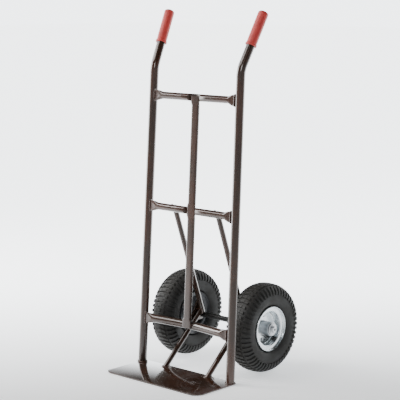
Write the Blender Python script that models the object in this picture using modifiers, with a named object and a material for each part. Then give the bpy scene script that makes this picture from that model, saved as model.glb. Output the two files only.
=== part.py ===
"""Hand truck: a welded tube frame on a toe plate, two pneumatic wheels on a fixed axle, two hand grips.

Metres, +Z up, +X to the truck's right, -Y to its front, where the load stands.
The origin is on the floor, under the middle of the whole truck.
"""

import math

import bmesh
import bpy
from mathutils import Euler, Vector

GAP = 0.0003  # between pieces that touch or are welded

# Rails: distances up the frame run along the rails, from where their axes meet the floor
RAIL_DIAMETER = 0.025
RAIL_WALL = 0.0015
RAIL_SPACING_FOOT = 0.346
RAIL_SPACING_BEND = 0.330
RAIL_LEAN = math.radians(3.3)
RAIL_BEND_UP = 0.880
RAIL_BEND_RADIUS = 0.075
HANDLE_UP = 0.163
HANDLE_BACK = 0.071
HANDLE_SPLAY = 0.0145

GRIP_WALL = 0.00225
GRIP_COLLAR_STEP = 0.00175
GRIP_COLLAR_LENGTH = 0.006
GRIP_LENGTH = 0.105
GRIP_END_WALL = 0.004

# Crossbars: round tubes with their ends pressed flat against the rails
CROSSBAR_DIAMETER = 0.021
LOWER_CROSSBAR_DIAMETER = 0.024
CROSSBAR_WALL = 0.0015
TOP_CROSSBAR_BELOW_BEND = 0.084
MIDDLE_CROSSBAR_UP = 0.473
LOWER_CROSSBAR_UP = 0.139
PADDLE_HEIGHT = 0.031
PADDLE_THICKNESS = 0.005
PADDLE_FORWARD = 0.0065
PADDLE_LENGTH = 0.006
FLARE_LENGTH = 0.024
PADDLE_SQUARENESS = 5
SEAT_RAMP = 0.009

# Centre upright: a flat-oval tube, pressed thinner where it crosses the bars
UPRIGHT_WIDTH = 0.025
UPRIGHT_THICKNESS = 0.010
UPRIGHT_WALL = 0.0015
UPRIGHT_SQUARENESS = 5
UPRIGHT_FRONT = -0.003
UPRIGHT_PRESSED_WIDTH = 0.031
UPRIGHT_PRESSED_THICKNESS = 0.005
UPRIGHT_PRESSED_LENGTH = 0.024
UPRIGHT_RAMP = 0.012
UPRIGHT_PAST_TOP_BAR = 0.0045  # from the top bar's axis
UPRIGHT_PAST_LOWER_BAR = 0.005  # from the lower bar's axis

# Toe plate
PLATE_WIDTH = 0.368
PLATE_REACH = 0.150
PLATE_HEEL = 0.018
PLATE_THICKNESS = 0.004
PLATE_FRONT_CORNER = 0.030
PLATE_HEEL_CORNER = 0.008

# Struts and axle
STRUT_DIAMETER = 0.016
STRUT_WALL = 0.0015
STRUT_TO_TYRE = 0.024
STRUT_HEEL = 0.007
STRUT_MEETING = 0.020
STRUT_TOP_RISE = 0.006  # from the middle crossbar's axis
BRACKET_THICKNESS = 0.004
BRACKET_EYE_RADIUS = 0.016
BRACKET_ARM_RADIUS = 0.008
BRACKET_ARM = 0.040
AXLE_DIAMETER = 0.016
AXLE_CHAMFER = 0.001

# Wheels
TRACK = 0.296
TYRE_RADIUS = 0.130
TYRE_WIDTH = 0.082
TYRE_BEHIND_FEET = 0.040
TREAD_THICKNESS = 0.009
SIDEWALL_THICKNESS = 0.0055
TYRE_WIDEST_RADIUS = 0.092
TYRE_SQUARENESS = 2.6
TYRE_OFF_LIP = 0.0015
BEAD_RADIUS = 0.0515
BEAD_THICKNESS = 0.008
BEAD_CHAMFER = 0.0025
TUBE_WALL = 0.002
TUBE_CLEARANCE = 0.003
TUBE_INTO_RIM = 0.005
RIM_SHEET = 0.002
RIM_HALF_WIDTH = 0.0265
RIM_FLANGE_HEIGHT = 0.0141
RIM_LIP_CURL = 0.0045
RIM_LIP_TURN = math.radians(117)
RIM_CORNER = 0.005
HUB_BORE = 0.035
HUB_WALL = 0.0022
HUB_LENGTH = 0.074

BEARING_WIDTH = 0.011
BEARING_RING = 0.0024
WASHER_DIAMETER = 0.034
WASHER_THICKNESS = 0.0025
SPACER_DIAMETER = 0.023
CAP_DIAMETER = 0.025
CAP_DEPTH = 0.007
CAP_SHEET = 0.001
CAP_HOLE_DIAMETER = 0.006
CAP_GRIP = 0.004

BOLT_COUNT = 4
BOLT_INSET = 0.0152
BOLT_DIAMETER = 0.005
BOLT_HEAD_WIDTH = 0.008
BOLT_HEAD_HEIGHT = 0.0035
NUT_HEIGHT = 0.004
BOLT_END = 0.0015

VALVE_ANGLE = math.radians(40)
VALVE_DIAMETER = 0.007
VALVE_TO_BEAD = 0.0017
VALVE_INSET = 0.0072
VALVE_BEND = 0.006
VALVE_REACH = 0.028
VALVE_INSIDE = 0.006
VALVE_CAP_DIAMETER = 0.009
VALVE_CAP_LENGTH = 0.011
VALVE_CAP_END = 0.003
VALVE_CAP_CHAMFER = 0.001

# Worked out from the sizes above
TOP_CROSSBAR_UP = RAIL_BEND_UP - TOP_CROSSBAR_BELOW_BEND
AXLE_SETBACK = TYRE_BEHIND_FEET + TYRE_RADIUS
TRUCK_DEPTH = PLATE_REACH + AXLE_SETBACK + TYRE_RADIUS
FOOT_Y = PLATE_REACH - TRUCK_DEPTH / 2
AXLE_Y = FOOT_Y + AXLE_SETBACK
STRUT_X = TRACK / 2 - TYRE_WIDTH / 2 - STRUT_TO_TYRE
UPRIGHT_PRESSED_BACK = UPRIGHT_FRONT + UPRIGHT_PRESSED_THICKNESS
LOWER_BOW = UPRIGHT_PRESSED_BACK + GAP + LOWER_CROSSBAR_DIAMETER / 2
BRACKET_INNER_X = STRUT_X + STRUT_DIAMETER / 2 + GAP
BRACKET_OUTER_X = BRACKET_INNER_X + BRACKET_THICKNESS
HUB_OUTER_RADIUS = HUB_BORE / 2 + GAP + HUB_WALL
HUB_INNER_X = TRACK / 2 - HUB_LENGTH / 2
HUB_END_X = TRACK / 2 + HUB_LENGTH / 2
CAP_START_X = HUB_END_X + 2 * GAP + WASHER_THICKNESS
AXLE_HALF_LENGTH = CAP_START_X + CAP_GRIP
FLANGE_FACE = GAP / 2
BARREL_RADIUS = BEAD_RADIUS - GAP - RIM_SHEET / 2
RIM_LIP_RADIUS = BEAD_RADIUS + RIM_FLANGE_HEIGHT
BOLT_CIRCLE_RADIUS = BARREL_RADIUS - BOLT_INSET
VALVE_RADIUS = BARREL_RADIUS - VALVE_INSET
BEAD_HALF_WIDTH = RIM_HALF_WIDTH - RIM_SHEET / 2 - GAP
VALVE_OUT = BEAD_HALF_WIDTH - BEAD_THICKNESS - VALVE_DIAMETER / 2 - VALVE_TO_BEAD
TUBE_INNER_RADIUS = RIM_LIP_RADIUS - TUBE_INTO_RIM
TUBE_OUTER_RADIUS = TYRE_RADIUS - TREAD_THICKNESS - TUBE_CLEARANCE
TUBE_HALF_WIDTH = TYRE_WIDTH / 2 - SIDEWALL_THICKNESS - 2 * TUBE_CLEARANCE

# Finishes: base colour, roughness, metallic
BRONZE_PAINT = ((0.105, 0.062, 0.042), 0.30, 0.25)
BLACK_STEEL = ((0.010, 0.010, 0.010), 0.40, 0.50)
RED_PLASTIC = ((0.600, 0.115, 0.110), 0.45, 0.0)
TYRE_RUBBER = ((0.036, 0.035, 0.032), 0.80, 0.0)
TUBE_RUBBER = ((0.015, 0.015, 0.015), 0.70, 0.0)
RIM_SILVER = ((0.740, 0.780, 0.800), 0.28, 0.85)
ZINC = ((0.620, 0.640, 0.660), 0.35, 0.95)
BEARING_STEEL = ((0.520, 0.530, 0.540), 0.25, 1.0)
BLACK_PLASTIC = ((0.012, 0.012, 0.012), 0.50, 0.0)

TUBE_SIDES = 12
WHEEL_STEPS = 24
HUB_STEPS = 20
SMALL_STEPS = 16
BOLT_SIDES = 12

PARTS = "hand_truck"
CUTTERS = "cutters"
ALONG_X = (0, math.radians(90), 0)  # turns a piece's own Z axis onto X


# ---------------------------------------------------------------------------------------------- scene and helpers


def clear_scene():
    for obj in list(bpy.data.objects):
        bpy.data.objects.remove(obj, do_unlink=True)


def add_collections():
    for name in (PARTS, CUTTERS):
        collection = bpy.data.collections.new(name)
        bpy.context.scene.collection.children.link(collection)


def dress(obj, finish):
    """Gives a piece its own material."""
    colour, roughness, metallic = finish
    material = bpy.data.materials.new(obj.name)
    material.use_nodes = True
    shader = material.node_tree.nodes["Principled BSDF"]
    shader.inputs["Base Color"].default_value = (*colour, 1.0)
    shader.inputs["Roughness"].default_value = roughness
    shader.inputs["Metallic"].default_value = metallic
    obj.data.materials.append(material)


def add_empty(name, location=(0, 0, 0), rotation=(0, 0, 0), scale=(1, 1, 1)):
    empty = bpy.data.objects.new(name, None)
    bpy.data.collections[PARTS].objects.link(empty)
    empty.location = location
    empty.rotation_euler = rotation
    empty.scale = scale
    return empty


def add_piece(name, data, finish, parent=None, collection=PARTS):
    """Links an object; a piece without a finish is a cutter."""
    obj = bpy.data.objects.new(name, data)
    bpy.data.collections[collection].objects.link(obj)
    obj.parent = parent
    if finish:
        dress(obj, finish)
    return obj


def add_cutter(name, data, parent):
    cutter = add_piece(name, data, None, parent, CUTTERS)
    cutter.hide_render = True
    cutter.display_type = "WIRE"
    return cutter


def smooth(mesh, angle=35):
    mesh.shade_smooth()
    mesh.set_sharp_from_angle(angle=math.radians(angle))


def face_outwards(mesh):
    work = bmesh.new()
    work.from_mesh(mesh)
    bmesh.ops.recalc_face_normals(work, faces=work.faces)
    work.to_mesh(mesh)
    work.free()


def loft(name, rings, closed):
    """Joins rings of as many points each: closed, it meets its first ring again; open, it gets end caps."""
    count = len(rings[0])
    points = [point for ring in rings for point in ring]
    faces = []
    spans = len(rings) if closed else len(rings) - 1
    for i in range(spans):
        near = i * count
        far = (i + 1) % len(rings) * count
        for j in range(count):
            k = (j + 1) % count
            faces.append((near + j, near + k, far + k, far + j))
    if not closed:
        faces.append(tuple(reversed(range(count))))
        faces.append(tuple(range(spans * count, (spans + 1) * count)))
    mesh = bpy.data.meshes.new(name)
    mesh.from_pydata(points, [], faces)
    face_outwards(mesh)
    smooth(mesh)
    return mesh


def oval(half_a, half_b, power, sides):
    """Points round a superellipse: a true ellipse at power 2, nearly a box at 6."""
    points = []
    for i in range(sides):
        angle = 2 * math.pi * (i + 0.5) / sides
        c, s = math.cos(angle), math.sin(angle)
        a = math.copysign(abs(c) ** (2 / power), c) * half_a
        b = math.copysign(abs(s) ** (2 / power), s) * half_b
        points.append((a, b))
    return points


def hollow(name, outer, inner):
    """A tube from its outer and inner rings, open at both ends."""
    return loft(name, outer + inner[::-1], closed=True)


def turned(name, profile, steps, finish, parent, loop=True):
    """A profile of (radius, height) turned about the local Z axis, its outer side running downwards."""
    mesh = bpy.data.meshes.new(name)
    edges = [(i, i + 1) for i in range(len(profile) - 1)]
    if loop:
        edges.append((len(profile) - 1, 0))
    mesh.from_pydata([(radius, 0, height) for radius, height in profile], edges, [])
    obj = add_piece(name, mesh, finish, parent)
    screw = obj.modifiers.new("Screw", "SCREW")
    screw.steps = steps
    screw.render_steps = steps
    screw.use_merge_vertices = True
    screw.merge_threshold = 0.00001
    screw.use_smooth_shade = True
    return obj


def ring_profile(inner, outer, low, high):
    return [(outer, high), (outer, low), (inner, low), (inner, high)]


def bend_path(points, radius, steps=6):
    """The same path with each inner corner rounded to a radius."""
    points = [Vector(point) for point in points]
    path = [points[0]]
    for before, corner, after in zip(points, points[1:], points[2:]):
        towards, away = (before - corner).normalized(), (after - corner).normalized()
        half_angle = towards.angle(away) / 2
        middle = corner + (towards + away).normalized() * radius / math.sin(half_angle)
        first = corner + towards * radius / math.tan(half_angle) - middle
        last = corner + away * radius / math.tan(half_angle) - middle
        for i in range(steps + 1):
            path.append(middle + first.slerp(last, i / steps) * radius)
    path.append(points[-1])
    return path


def curve_data(name, path, radius, sides, caps):
    curve = bpy.data.curves.new(name, "CURVE")
    curve.dimensions = "3D"
    curve.bevel_depth = radius
    curve.bevel_resolution = sides // 2 - 2
    curve.use_fill_caps = caps
    spline = curve.splines.new("POLY")
    spline.points.add(len(path) - 1)
    for point, place in zip(spline.points, path):
        point.co = (*place, 1)
    return curve


def flat_plate(name, outlines, thickness, finish, parent=None):
    """A plate in the local XY plane: its outline, then its holes."""
    curve = bpy.data.curves.new(name, "CURVE")
    curve.dimensions = "2D"
    curve.fill_mode = "BOTH"
    curve.extrude = thickness / 2
    for outline in outlines:
        spline = curve.splines.new("POLY")
        spline.points.add(len(outline) - 1)
        spline.use_cyclic_u = True
        for point, (x, y) in zip(spline.points, outline):
            point.co = (x, y, 0, 1)
    return add_piece(name, curve, finish, parent)


def circle(centre, radius, steps, start=0.0):
    return [
        (
            centre[0] + radius * math.cos(start + 2 * math.pi * i / steps),
            centre[1] + radius * math.sin(start + 2 * math.pi * i / steps),
        )
        for i in range(steps)
    ]


def arc(centre, radius, start, end, steps):
    return [
        (
            centre[0] + radius * math.cos(start + (end - start) * i / steps),
            centre[1] + radius * math.sin(start + (end - start) * i / steps),
        )
        for i in range(steps + 1)
    ]


def mirrored(side, name):
    return ("left_" if side < 0 else "right_") + name


# ------------------------------------------------------------------------------------------------------- the frame


def rail_x(up):
    """Half the rails' spacing at a distance up the frame."""
    return (RAIL_SPACING_FOOT + (RAIL_SPACING_BEND - RAIL_SPACING_FOOT) * up / RAIL_BEND_UP) / 2


def frame_point(back, up):
    """The world (y, z) of a place behind the rails' plane and up along it."""
    return Vector(
        (
            FOOT_Y + up * math.sin(RAIL_LEAN) + back * math.cos(RAIL_LEAN),
            up * math.cos(RAIL_LEAN) - back * math.sin(RAIL_LEAN),
        )
    )


def handle_direction(side):
    return Vector((side * HANDLE_SPLAY, HANDLE_BACK, HANDLE_UP)).normalized()


def handle_tip(side):
    """Where the grip's outer end is, in the frame's own axes."""
    corner = Vector((side * rail_x(RAIL_BEND_UP), 0, RAIL_BEND_UP))
    return corner + Vector((side * HANDLE_SPLAY, HANDLE_BACK, HANDLE_UP))


def add_rail(side, frame):
    foot_up = (PLATE_THICKNESS + GAP) / math.cos(RAIL_LEAN) + RAIL_DIAMETER / 2 * math.tan(RAIL_LEAN)
    corner = Vector((side * rail_x(RAIL_BEND_UP), 0, RAIL_BEND_UP))
    top = handle_tip(side) - handle_direction(side) * (GRIP_END_WALL + GAP)
    path = bend_path([(side * rail_x(foot_up), 0, foot_up), corner, top], RAIL_BEND_RADIUS)
    name = mirrored(side, "rail")
    data = curve_data(name, path, RAIL_DIAMETER / 2, TUBE_SIDES, caps=False)
    rail = add_piece(name, data, BRONZE_PAINT, frame)
    wall = rail.modifiers.new("Wall", "SOLIDIFY")
    wall.thickness = RAIL_WALL
    wall.offset = -1


def add_grip(side, frame):
    """A sleeve with a round end and a collar at its open end."""
    radius = RAIL_DIAMETER / 2 + GRIP_WALL
    bore = RAIL_DIAMETER / 2 + GAP
    collar = radius + GRIP_COLLAR_STEP
    profile = [(0, GRIP_LENGTH)]
    end = arc((0, 0), 1, math.pi / 2, 0, 6)[1:]
    profile += [(radius * x, GRIP_LENGTH - radius / 2 * (1 - y)) for x, y in end]
    profile += [(radius, GRIP_COLLAR_LENGTH), (collar, GRIP_COLLAR_LENGTH), (collar, 0), (bore, 0)]
    profile += [(bore, GRIP_LENGTH - GRIP_END_WALL), (0, GRIP_LENGTH - GRIP_END_WALL)]
    grip = turned(mirrored(side, "grip"), profile, HUB_STEPS, RED_PLASTIC, frame, loop=False)
    grip.location = handle_tip(side) - handle_direction(side) * GRIP_LENGTH
    grip.rotation_euler = handle_direction(side).to_track_quat("Z", "Y").to_euler()


def crossbar_stations(half_length, radius, has_seat):
    """(place along the bar, how far it is flattened, seat half-depth share) from one end to the other."""
    flat_end = half_length - PADDLE_LENGTH
    round_start = flat_end - FLARE_LENGTH
    seat_edge = UPRIGHT_PRESSED_WIDTH / 2 + GAP
    seat_start = seat_edge + SEAT_RAMP
    half = [(half_length, 1.0, 0.0), (flat_end, 1.0, 0.0)]
    for share in (0.67, 0.33):
        eased = share * share * (3 - 2 * share)
        half.append((round_start + FLARE_LENGTH * share, eased, 0.0))
    half.append((round_start, 0.0, 0.0))
    if has_seat:
        half += [(seat_start, 0.0, 0.0), (seat_edge, 0.0, 1.0)]
    else:
        half += [(round_start * share, 0.0, 0.0) for share in (0.75, 0.5, 0.25)]
        half.append((0.0, 0.0, 0.0))
    other = [(-place, flat, seat) for place, flat, seat in reversed(half) if place > 0]
    return half + other


def add_crossbar(name, up, diameter, bow, frame):
    """A tube along X, pressed flat at both ends; a straight bar has a seat for the upright in its front."""
    radius = diameter / 2
    paddle_back = PADDLE_FORWARD - PADDLE_THICKNESS / 2
    reach_in_rail = math.sqrt((RAIL_DIAMETER / 2) ** 2 - paddle_back**2)
    half_length = rail_x(up + PADDLE_HEIGHT / 2) - reach_in_rail - GAP
    seat = UPRIGHT_PRESSED_BACK + GAP
    outer, inner = [], []
    for place, flat, pressed in crossbar_stations(half_length, radius, bow == 0):
        half_y = radius + (PADDLE_THICKNESS / 2 - radius) * flat
        half_z = radius + (PADDLE_HEIGHT / 2 - radius) * flat
        power = 2 + (PADDLE_SQUARENESS - 2) * flat
        share = 1 - (place / half_length) ** 2
        centre = bow * share * share - PADDLE_FORWARD * flat
        floor = -radius + (seat + radius) * pressed
        for rings, wall in ((outer, 0.0), (inner, CROSSBAR_WALL)):
            ring = []
            for y, z in oval(half_y - wall, half_z - wall, power, TUBE_SIDES):
                back = max(centre + y, floor + wall) if pressed else centre + y
                ring.append((place, back, z))
            rings.append(ring)
    bar = add_piece(name, hollow(name, outer, inner), BRONZE_PAINT, frame)
    bar.location = (0, 0, up)


def upright_stations():
    """(place up the frame, share pressed) of the upright, from its lower end to its upper end."""
    half = UPRIGHT_PRESSED_LENGTH / 2
    low, middle, top = LOWER_CROSSBAR_UP, MIDDLE_CROSSBAR_UP, TOP_CROSSBAR_UP
    return [
        (low - UPRIGHT_PAST_LOWER_BAR, 1.0),
        (low + half, 1.0),
        (low + half + UPRIGHT_RAMP, 0.0),
        (middle - half - UPRIGHT_RAMP, 0.0),
        (middle - half, 1.0),
        (middle + half, 1.0),
        (middle + half + UPRIGHT_RAMP, 0.0),
        (top - half - UPRIGHT_RAMP, 0.0),
        (top - half, 1.0),
        (top + UPRIGHT_PAST_TOP_BAR, 1.0),
    ]


def add_upright(frame):
    outer, inner = [], []
    for up, pressed in upright_stations():
        half_x = (UPRIGHT_WIDTH + (UPRIGHT_PRESSED_WIDTH - UPRIGHT_WIDTH) * pressed) / 2
        half_y = (UPRIGHT_THICKNESS + (UPRIGHT_PRESSED_THICKNESS - UPRIGHT_THICKNESS) * pressed) / 2
        for rings, wall in ((outer, 0.0), (inner, UPRIGHT_WALL)):
            section = oval(half_x - wall, half_y - wall, UPRIGHT_SQUARENESS, TUBE_SIDES)
            rings.append([(x, UPRIGHT_FRONT + half_y + y, up) for x, y in section])
    name = "centre_upright"
    add_piece(name, hollow(name, outer, inner), BRONZE_PAINT, frame)


def add_toe_plate():
    half = PLATE_WIDTH / 2
    front, heel = -PLATE_REACH, PLATE_HEEL
    corners = [
        (half - PLATE_FRONT_CORNER, front + PLATE_FRONT_CORNER, PLATE_FRONT_CORNER, -90),
        (half - PLATE_HEEL_CORNER, heel - PLATE_HEEL_CORNER, PLATE_HEEL_CORNER, 0),
        (-half + PLATE_HEEL_CORNER, heel - PLATE_HEEL_CORNER, PLATE_HEEL_CORNER, 90),
        (-half + PLATE_FRONT_CORNER, front + PLATE_FRONT_CORNER, PLATE_FRONT_CORNER, 180),
    ]
    outline = []
    for x, y, radius, start in corners:
        outline += arc((x, y), radius, math.radians(start), math.radians(start + 90), 8)
    plate = flat_plate("toe_plate", [outline], PLATE_THICKNESS, BRONZE_PAINT)
    plate.location = (0, FOOT_Y, PLATE_THICKNESS / 2)


# ---------------------------------------------------------------------------------------------- struts and axle


def cut_ring(centre, along, radius, plane_point, plane_normal):
    """A circle round an axis in the plane of Y and Z, slid along the axis onto a cutting plane."""
    across = Vector((1, 0, 0))
    other = along.cross(across)
    ring = []
    for a, b in oval(radius, radius, 2, TUBE_SIDES):
        point = centre + across * a + other * b
        slide = (plane_point - point).dot(plane_normal) / along.dot(plane_normal)
        ring.append(tuple(point + along * slide))
    return ring


def add_strut(name, start, end, start_normal, end_normal):
    """A straight tube between two points, each end cut flush with the plane that it is welded to."""
    along = (end - start).normalized()
    outer, inner = [], []
    for rings, wall in ((outer, 0.0), (inner, STRUT_WALL)):
        for point, normal in ((start, start_normal), (end, end_normal)):
            rings.append(cut_ring(point, along, STRUT_DIAMETER / 2 - wall, point, normal))
    add_piece(name, hollow(name, outer, inner), BRONZE_PAINT)


def strut_lines(side):
    """The upper strut's top, behind the crossbar that it touches, the axle, the heel, and the way up."""
    x = side * STRUT_X
    bar = Vector((x, *frame_point(0, MIDDLE_CROSSBAR_UP)))
    axle = Vector((x, AXLE_Y, TYRE_RADIUS))
    heel = Vector((x, FOOT_Y + STRUT_HEEL, PLATE_THICKNESS + GAP))
    straight = bar - axle
    apart = (CROSSBAR_DIAMETER + STRUT_DIAMETER) / 2 + GAP
    upwards = straight.normalized()
    upwards.rotate(Euler((-math.asin(apart / straight.length), 0, 0)))
    top = axle + upwards * ((straight.z + STRUT_TOP_RISE) / upwards.z)
    return top, axle, heel, upwards


def add_struts(side):
    """The upper strut, welded to the crossbar's back, and the lower one, welded to the upper and the plate."""
    top, axle, heel, upwards = strut_lines(side)
    add_strut(
        mirrored(side, "upper_strut"),
        axle + upwards * (AXLE_DIAMETER / 2 + GAP),
        top,
        upwards,
        Vector((0, 0, 1)),
    )
    meeting = axle + upwards * STRUT_MEETING
    along = (meeting - heel).normalized()
    facing = Vector((1, 0, 0)).cross(upwards).normalized()
    back_off = (STRUT_DIAMETER / 2 + GAP) / abs(along.dot(facing))
    add_strut(mirrored(side, "lower_strut"), heel, meeting - along * back_off, Vector((0, 0, 1)), facing)


def add_bracket(side):
    """An eye plate round the axle, with an arm along each strut."""
    _, axle, heel, upwards = strut_lines(side)
    downwards = (heel - axle - upwards * STRUT_MEETING).normalized()
    eye = Vector((0.0, 0.0))
    upper = Vector((upwards.y, upwards.z)) * BRACKET_ARM
    lower = Vector((upwards.y, upwards.z)) * STRUT_MEETING
    lower += Vector((downwards.y, downwards.z)) * BRACKET_ARM
    arm = BRACKET_ARM_RADIUS
    outline = round_hull([(eye, BRACKET_EYE_RADIUS), (upper, arm), (lower, arm)])
    hole = circle(eye, AXLE_DIAMETER / 2 + GAP, SMALL_STEPS)
    name = mirrored(side, "axle_bracket")
    bracket = flat_plate(name, [outline, hole], BRACKET_THICKNESS, BRONZE_PAINT)
    bracket.location = (side * (BRACKET_INNER_X + BRACKET_THICKNESS / 2), AXLE_Y, TYRE_RADIUS)
    bracket.rotation_euler = (math.radians(90), 0, math.radians(90))


def round_hull(discs, steps=40):
    """The outline stretched round discs, anticlockwise."""
    outline = []
    for i in range(steps):
        angle = 2 * math.pi * i / steps
        normal = Vector((math.cos(angle), math.sin(angle)))
        centre, radius = max(discs, key=lambda disc: disc[0].dot(normal) + disc[1])
        outline.append(tuple(centre + normal * radius))
    return outline


def add_axle():
    radius = AXLE_DIAMETER / 2
    half = AXLE_HALF_LENGTH
    profile = [
        (0, half),
        (radius - AXLE_CHAMFER, half),
        (radius, half - AXLE_CHAMFER),
        (radius, -half + AXLE_CHAMFER),
        (radius - AXLE_CHAMFER, -half),
        (0, -half),
    ]
    axle = turned("axle", profile, SMALL_STEPS, BLACK_STEEL, None, loop=False)
    axle.location = (0, AXLE_Y, TYRE_RADIUS)
    axle.rotation_euler = ALONG_X


def add_axle_fittings(side):
    """What sits on the axle beside and in a wheel and doesn't turn with it."""
    bore = AXLE_DIAMETER / 2 + GAP
    holder = add_empty(mirrored(side, "axle_end"), (0, AXLE_Y, TYRE_RADIUS), scale=(side, 1, 1))
    ring_outer = bore + BEARING_RING
    inboard = (HUB_INNER_X, HUB_INNER_X + BEARING_WIDTH)
    outboard = (HUB_END_X - BEARING_WIDTH, HUB_END_X)
    spacer = (BRACKET_OUTER_X + GAP, HUB_INNER_X - GAP)
    washer = (HUB_END_X + GAP, HUB_END_X + GAP + WASHER_THICKNESS)
    rings = [
        ("axle_spacer", SPACER_DIAMETER / 2, spacer, ZINC),
        ("inboard_bearing_inner_ring", ring_outer, inboard, BEARING_STEEL),
        ("outboard_bearing_inner_ring", ring_outer, outboard, BEARING_STEEL),
        ("axle_washer", WASHER_DIAMETER / 2, washer, ZINC),
    ]
    for name, radius, ends, finish in rings:
        profile = ring_profile(bore, radius, *ends)
        ring = turned(mirrored(side, name), profile, SMALL_STEPS, finish, holder)
        ring.rotation_euler = ALONG_X
    outer = CAP_DIAMETER / 2
    end = CAP_START_X + CAP_DEPTH
    profile = [
        (CAP_HOLE_DIAMETER / 2, end),
        (bore, end),
        (bore + CAP_SHEET, end - CAP_SHEET),
        (bore + CAP_SHEET, CAP_START_X + CAP_SHEET),
        (outer, CAP_START_X + CAP_SHEET),
        (outer, CAP_START_X),
        (bore, CAP_START_X),
        (bore, end - CAP_SHEET),
        (CAP_HOLE_DIAMETER / 2, end - CAP_SHEET),
    ]
    cap = turned(mirrored(side, "axle_cap"), profile, SMALL_STEPS, ZINC, holder)
    cap.rotation_euler = ALONG_X


# ------------------------------------------------------------------------------------------------------ the wheels


def turned_on_wheel(name, profile, steps, finish, wheel, loop=True):
    """A turned piece whose profile heights run outwards from the wheel's middle plane."""
    obj = turned(name, profile, steps, finish, wheel, loop)
    obj.rotation_euler = ALONG_X
    return obj


def tyre_skin(half_width, foot, top_radius, shoulder_radius, side_steps, crown_steps):
    """(radius, place across) from one bead's shoulder, at its foot, over the tread to the other's."""
    up = top_radius - TYRE_WIDEST_RADIUS
    down = TYRE_WIDEST_RADIUS - shoulder_radius
    side = []
    for i in range(side_steps):
        angle = math.pi / 2 * (1 - i / side_steps)
        across = foot + (half_width - foot) * math.cos(angle)
        side.append((TYRE_WIDEST_RADIUS - down * math.sin(angle), across))
    crown = []
    for i in range(crown_steps + 1):
        angle = math.pi * i / crown_steps
        c, s = math.cos(angle), math.sin(angle)
        across = math.copysign(abs(c) ** (2 / TYRE_SQUARENESS), c) * half_width
        crown.append((TYRE_WIDEST_RADIUS + up * s ** (2 / TYRE_SQUARENESS), across))
    return side + crown + [(radius, -across) for radius, across in reversed(side)]


def add_tyre(side, wheel):
    inner_foot = BEAD_HALF_WIDTH - BEAD_THICKNESS
    inner_half = TYRE_WIDTH / 2 - SIDEWALL_THICKNESS
    tread_inside = TYRE_RADIUS - TREAD_THICKNESS
    outer_shoulder = RIM_LIP_RADIUS + TYRE_OFF_LIP
    outer = tyre_skin(TYRE_WIDTH / 2, BEAD_HALF_WIDTH, TYRE_RADIUS, outer_shoulder, 3, 6)
    inner = tyre_skin(inner_half, inner_foot, tread_inside, RIM_LIP_RADIUS, 2, 4)
    bead = [
        (BEAD_RADIUS + BEAD_CHAMFER, -BEAD_HALF_WIDTH),
        (BEAD_RADIUS, -BEAD_HALF_WIDTH + BEAD_CHAMFER),
        (BEAD_RADIUS, -inner_foot),
    ]
    other_bead = [(radius, -across) for radius, across in reversed(bead)]
    profile = outer + bead + inner[::-1] + other_bead
    turned_on_wheel(mirrored(side, "tyre"), profile, WHEEL_STEPS, TYRE_RUBBER, wheel)


def add_inner_tube(side, wheel):
    """A thin hollow ring, with the hole that its valve stands in."""
    centre = (TUBE_OUTER_RADIUS + TUBE_INNER_RADIUS) / 2
    half = (TUBE_OUTER_RADIUS - TUBE_INNER_RADIUS) / 2
    outer = [(centre + a, b) for a, b in oval(half, TUBE_HALF_WIDTH, 2, 8)]
    name = mirrored(side, "inner_tube")
    tube = turned_on_wheel(name, outer[::-1], WHEEL_STEPS, TUBE_RUBBER, wheel)
    wall = tube.modifiers.new("Wall", "SOLIDIFY")
    wall.thickness = TUBE_WALL
    wall.offset = -1
    hole = valve_cutter(name + "_valve_hole", BARREL_RADIUS + RIM_SHEET, centre, wheel)
    cut(tube, hole)


def rim_line():
    """(radius, place across) along the middle of the pressed sheet, from the bolted flange to the rolled lip."""
    flange = FLANGE_FACE + RIM_SHEET / 2
    corner = RIM_CORNER
    line = [(HUB_OUTER_RADIUS + GAP, flange)]
    line += [
        (BARREL_RADIUS - corner + corner * math.sin(angle), flange + corner - corner * math.cos(angle))
        for angle in (0.0, math.pi / 2)
    ]
    line += [(BARREL_RADIUS, RIM_HALF_WIDTH - corner / 2), (BARREL_RADIUS + corner / 2, RIM_HALF_WIDTH)]
    curl_centre = (RIM_LIP_RADIUS - RIM_SHEET / 2 - RIM_LIP_CURL, RIM_HALF_WIDTH + RIM_LIP_CURL)
    for i in range(3):
        angle = RIM_LIP_TURN * i / 2
        radius = curl_centre[0] + RIM_LIP_CURL * math.sin(angle)
        line.append((radius, curl_centre[1] - RIM_LIP_CURL * math.cos(angle)))
    return line


def add_rim_half(side, wheel, name, out):
    """One pressed half, welded to the hub tube by its flange; out is 1 for the outer half, else -1."""
    line = [(radius, out * across) for radius, across in rim_line()]
    if out > 0:
        line.reverse()
    name = mirrored(side, name)
    rim = turned_on_wheel(name, line, WHEEL_STEPS, RIM_SILVER, wheel, loop=False)
    sheet = rim.modifiers.new("Sheet", "SOLIDIFY")
    sheet.thickness = RIM_SHEET
    sheet.offset = 0
    cut(rim, bolt_hole_cutter(name + "_bolt_holes", wheel, out))
    if out > 0:
        end = BARREL_RADIUS + RIM_SHEET * 2
        cut(rim, valve_cutter(name + "_valve_hole", VALVE_RADIUS, end, wheel))


def cut(obj, cutter):
    modifier = obj.modifiers.new(cutter.name, "BOOLEAN")
    modifier.operation = "DIFFERENCE"
    modifier.object = cutter


def bolt_angles():
    return [VALVE_ANGLE + 2 * math.pi * (i + 0.5) / BOLT_COUNT for i in range(BOLT_COUNT)]


def bolt_places():
    radius = BOLT_CIRCLE_RADIUS
    return [(radius * math.cos(angle), radius * math.sin(angle)) for angle in bolt_angles()]


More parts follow.
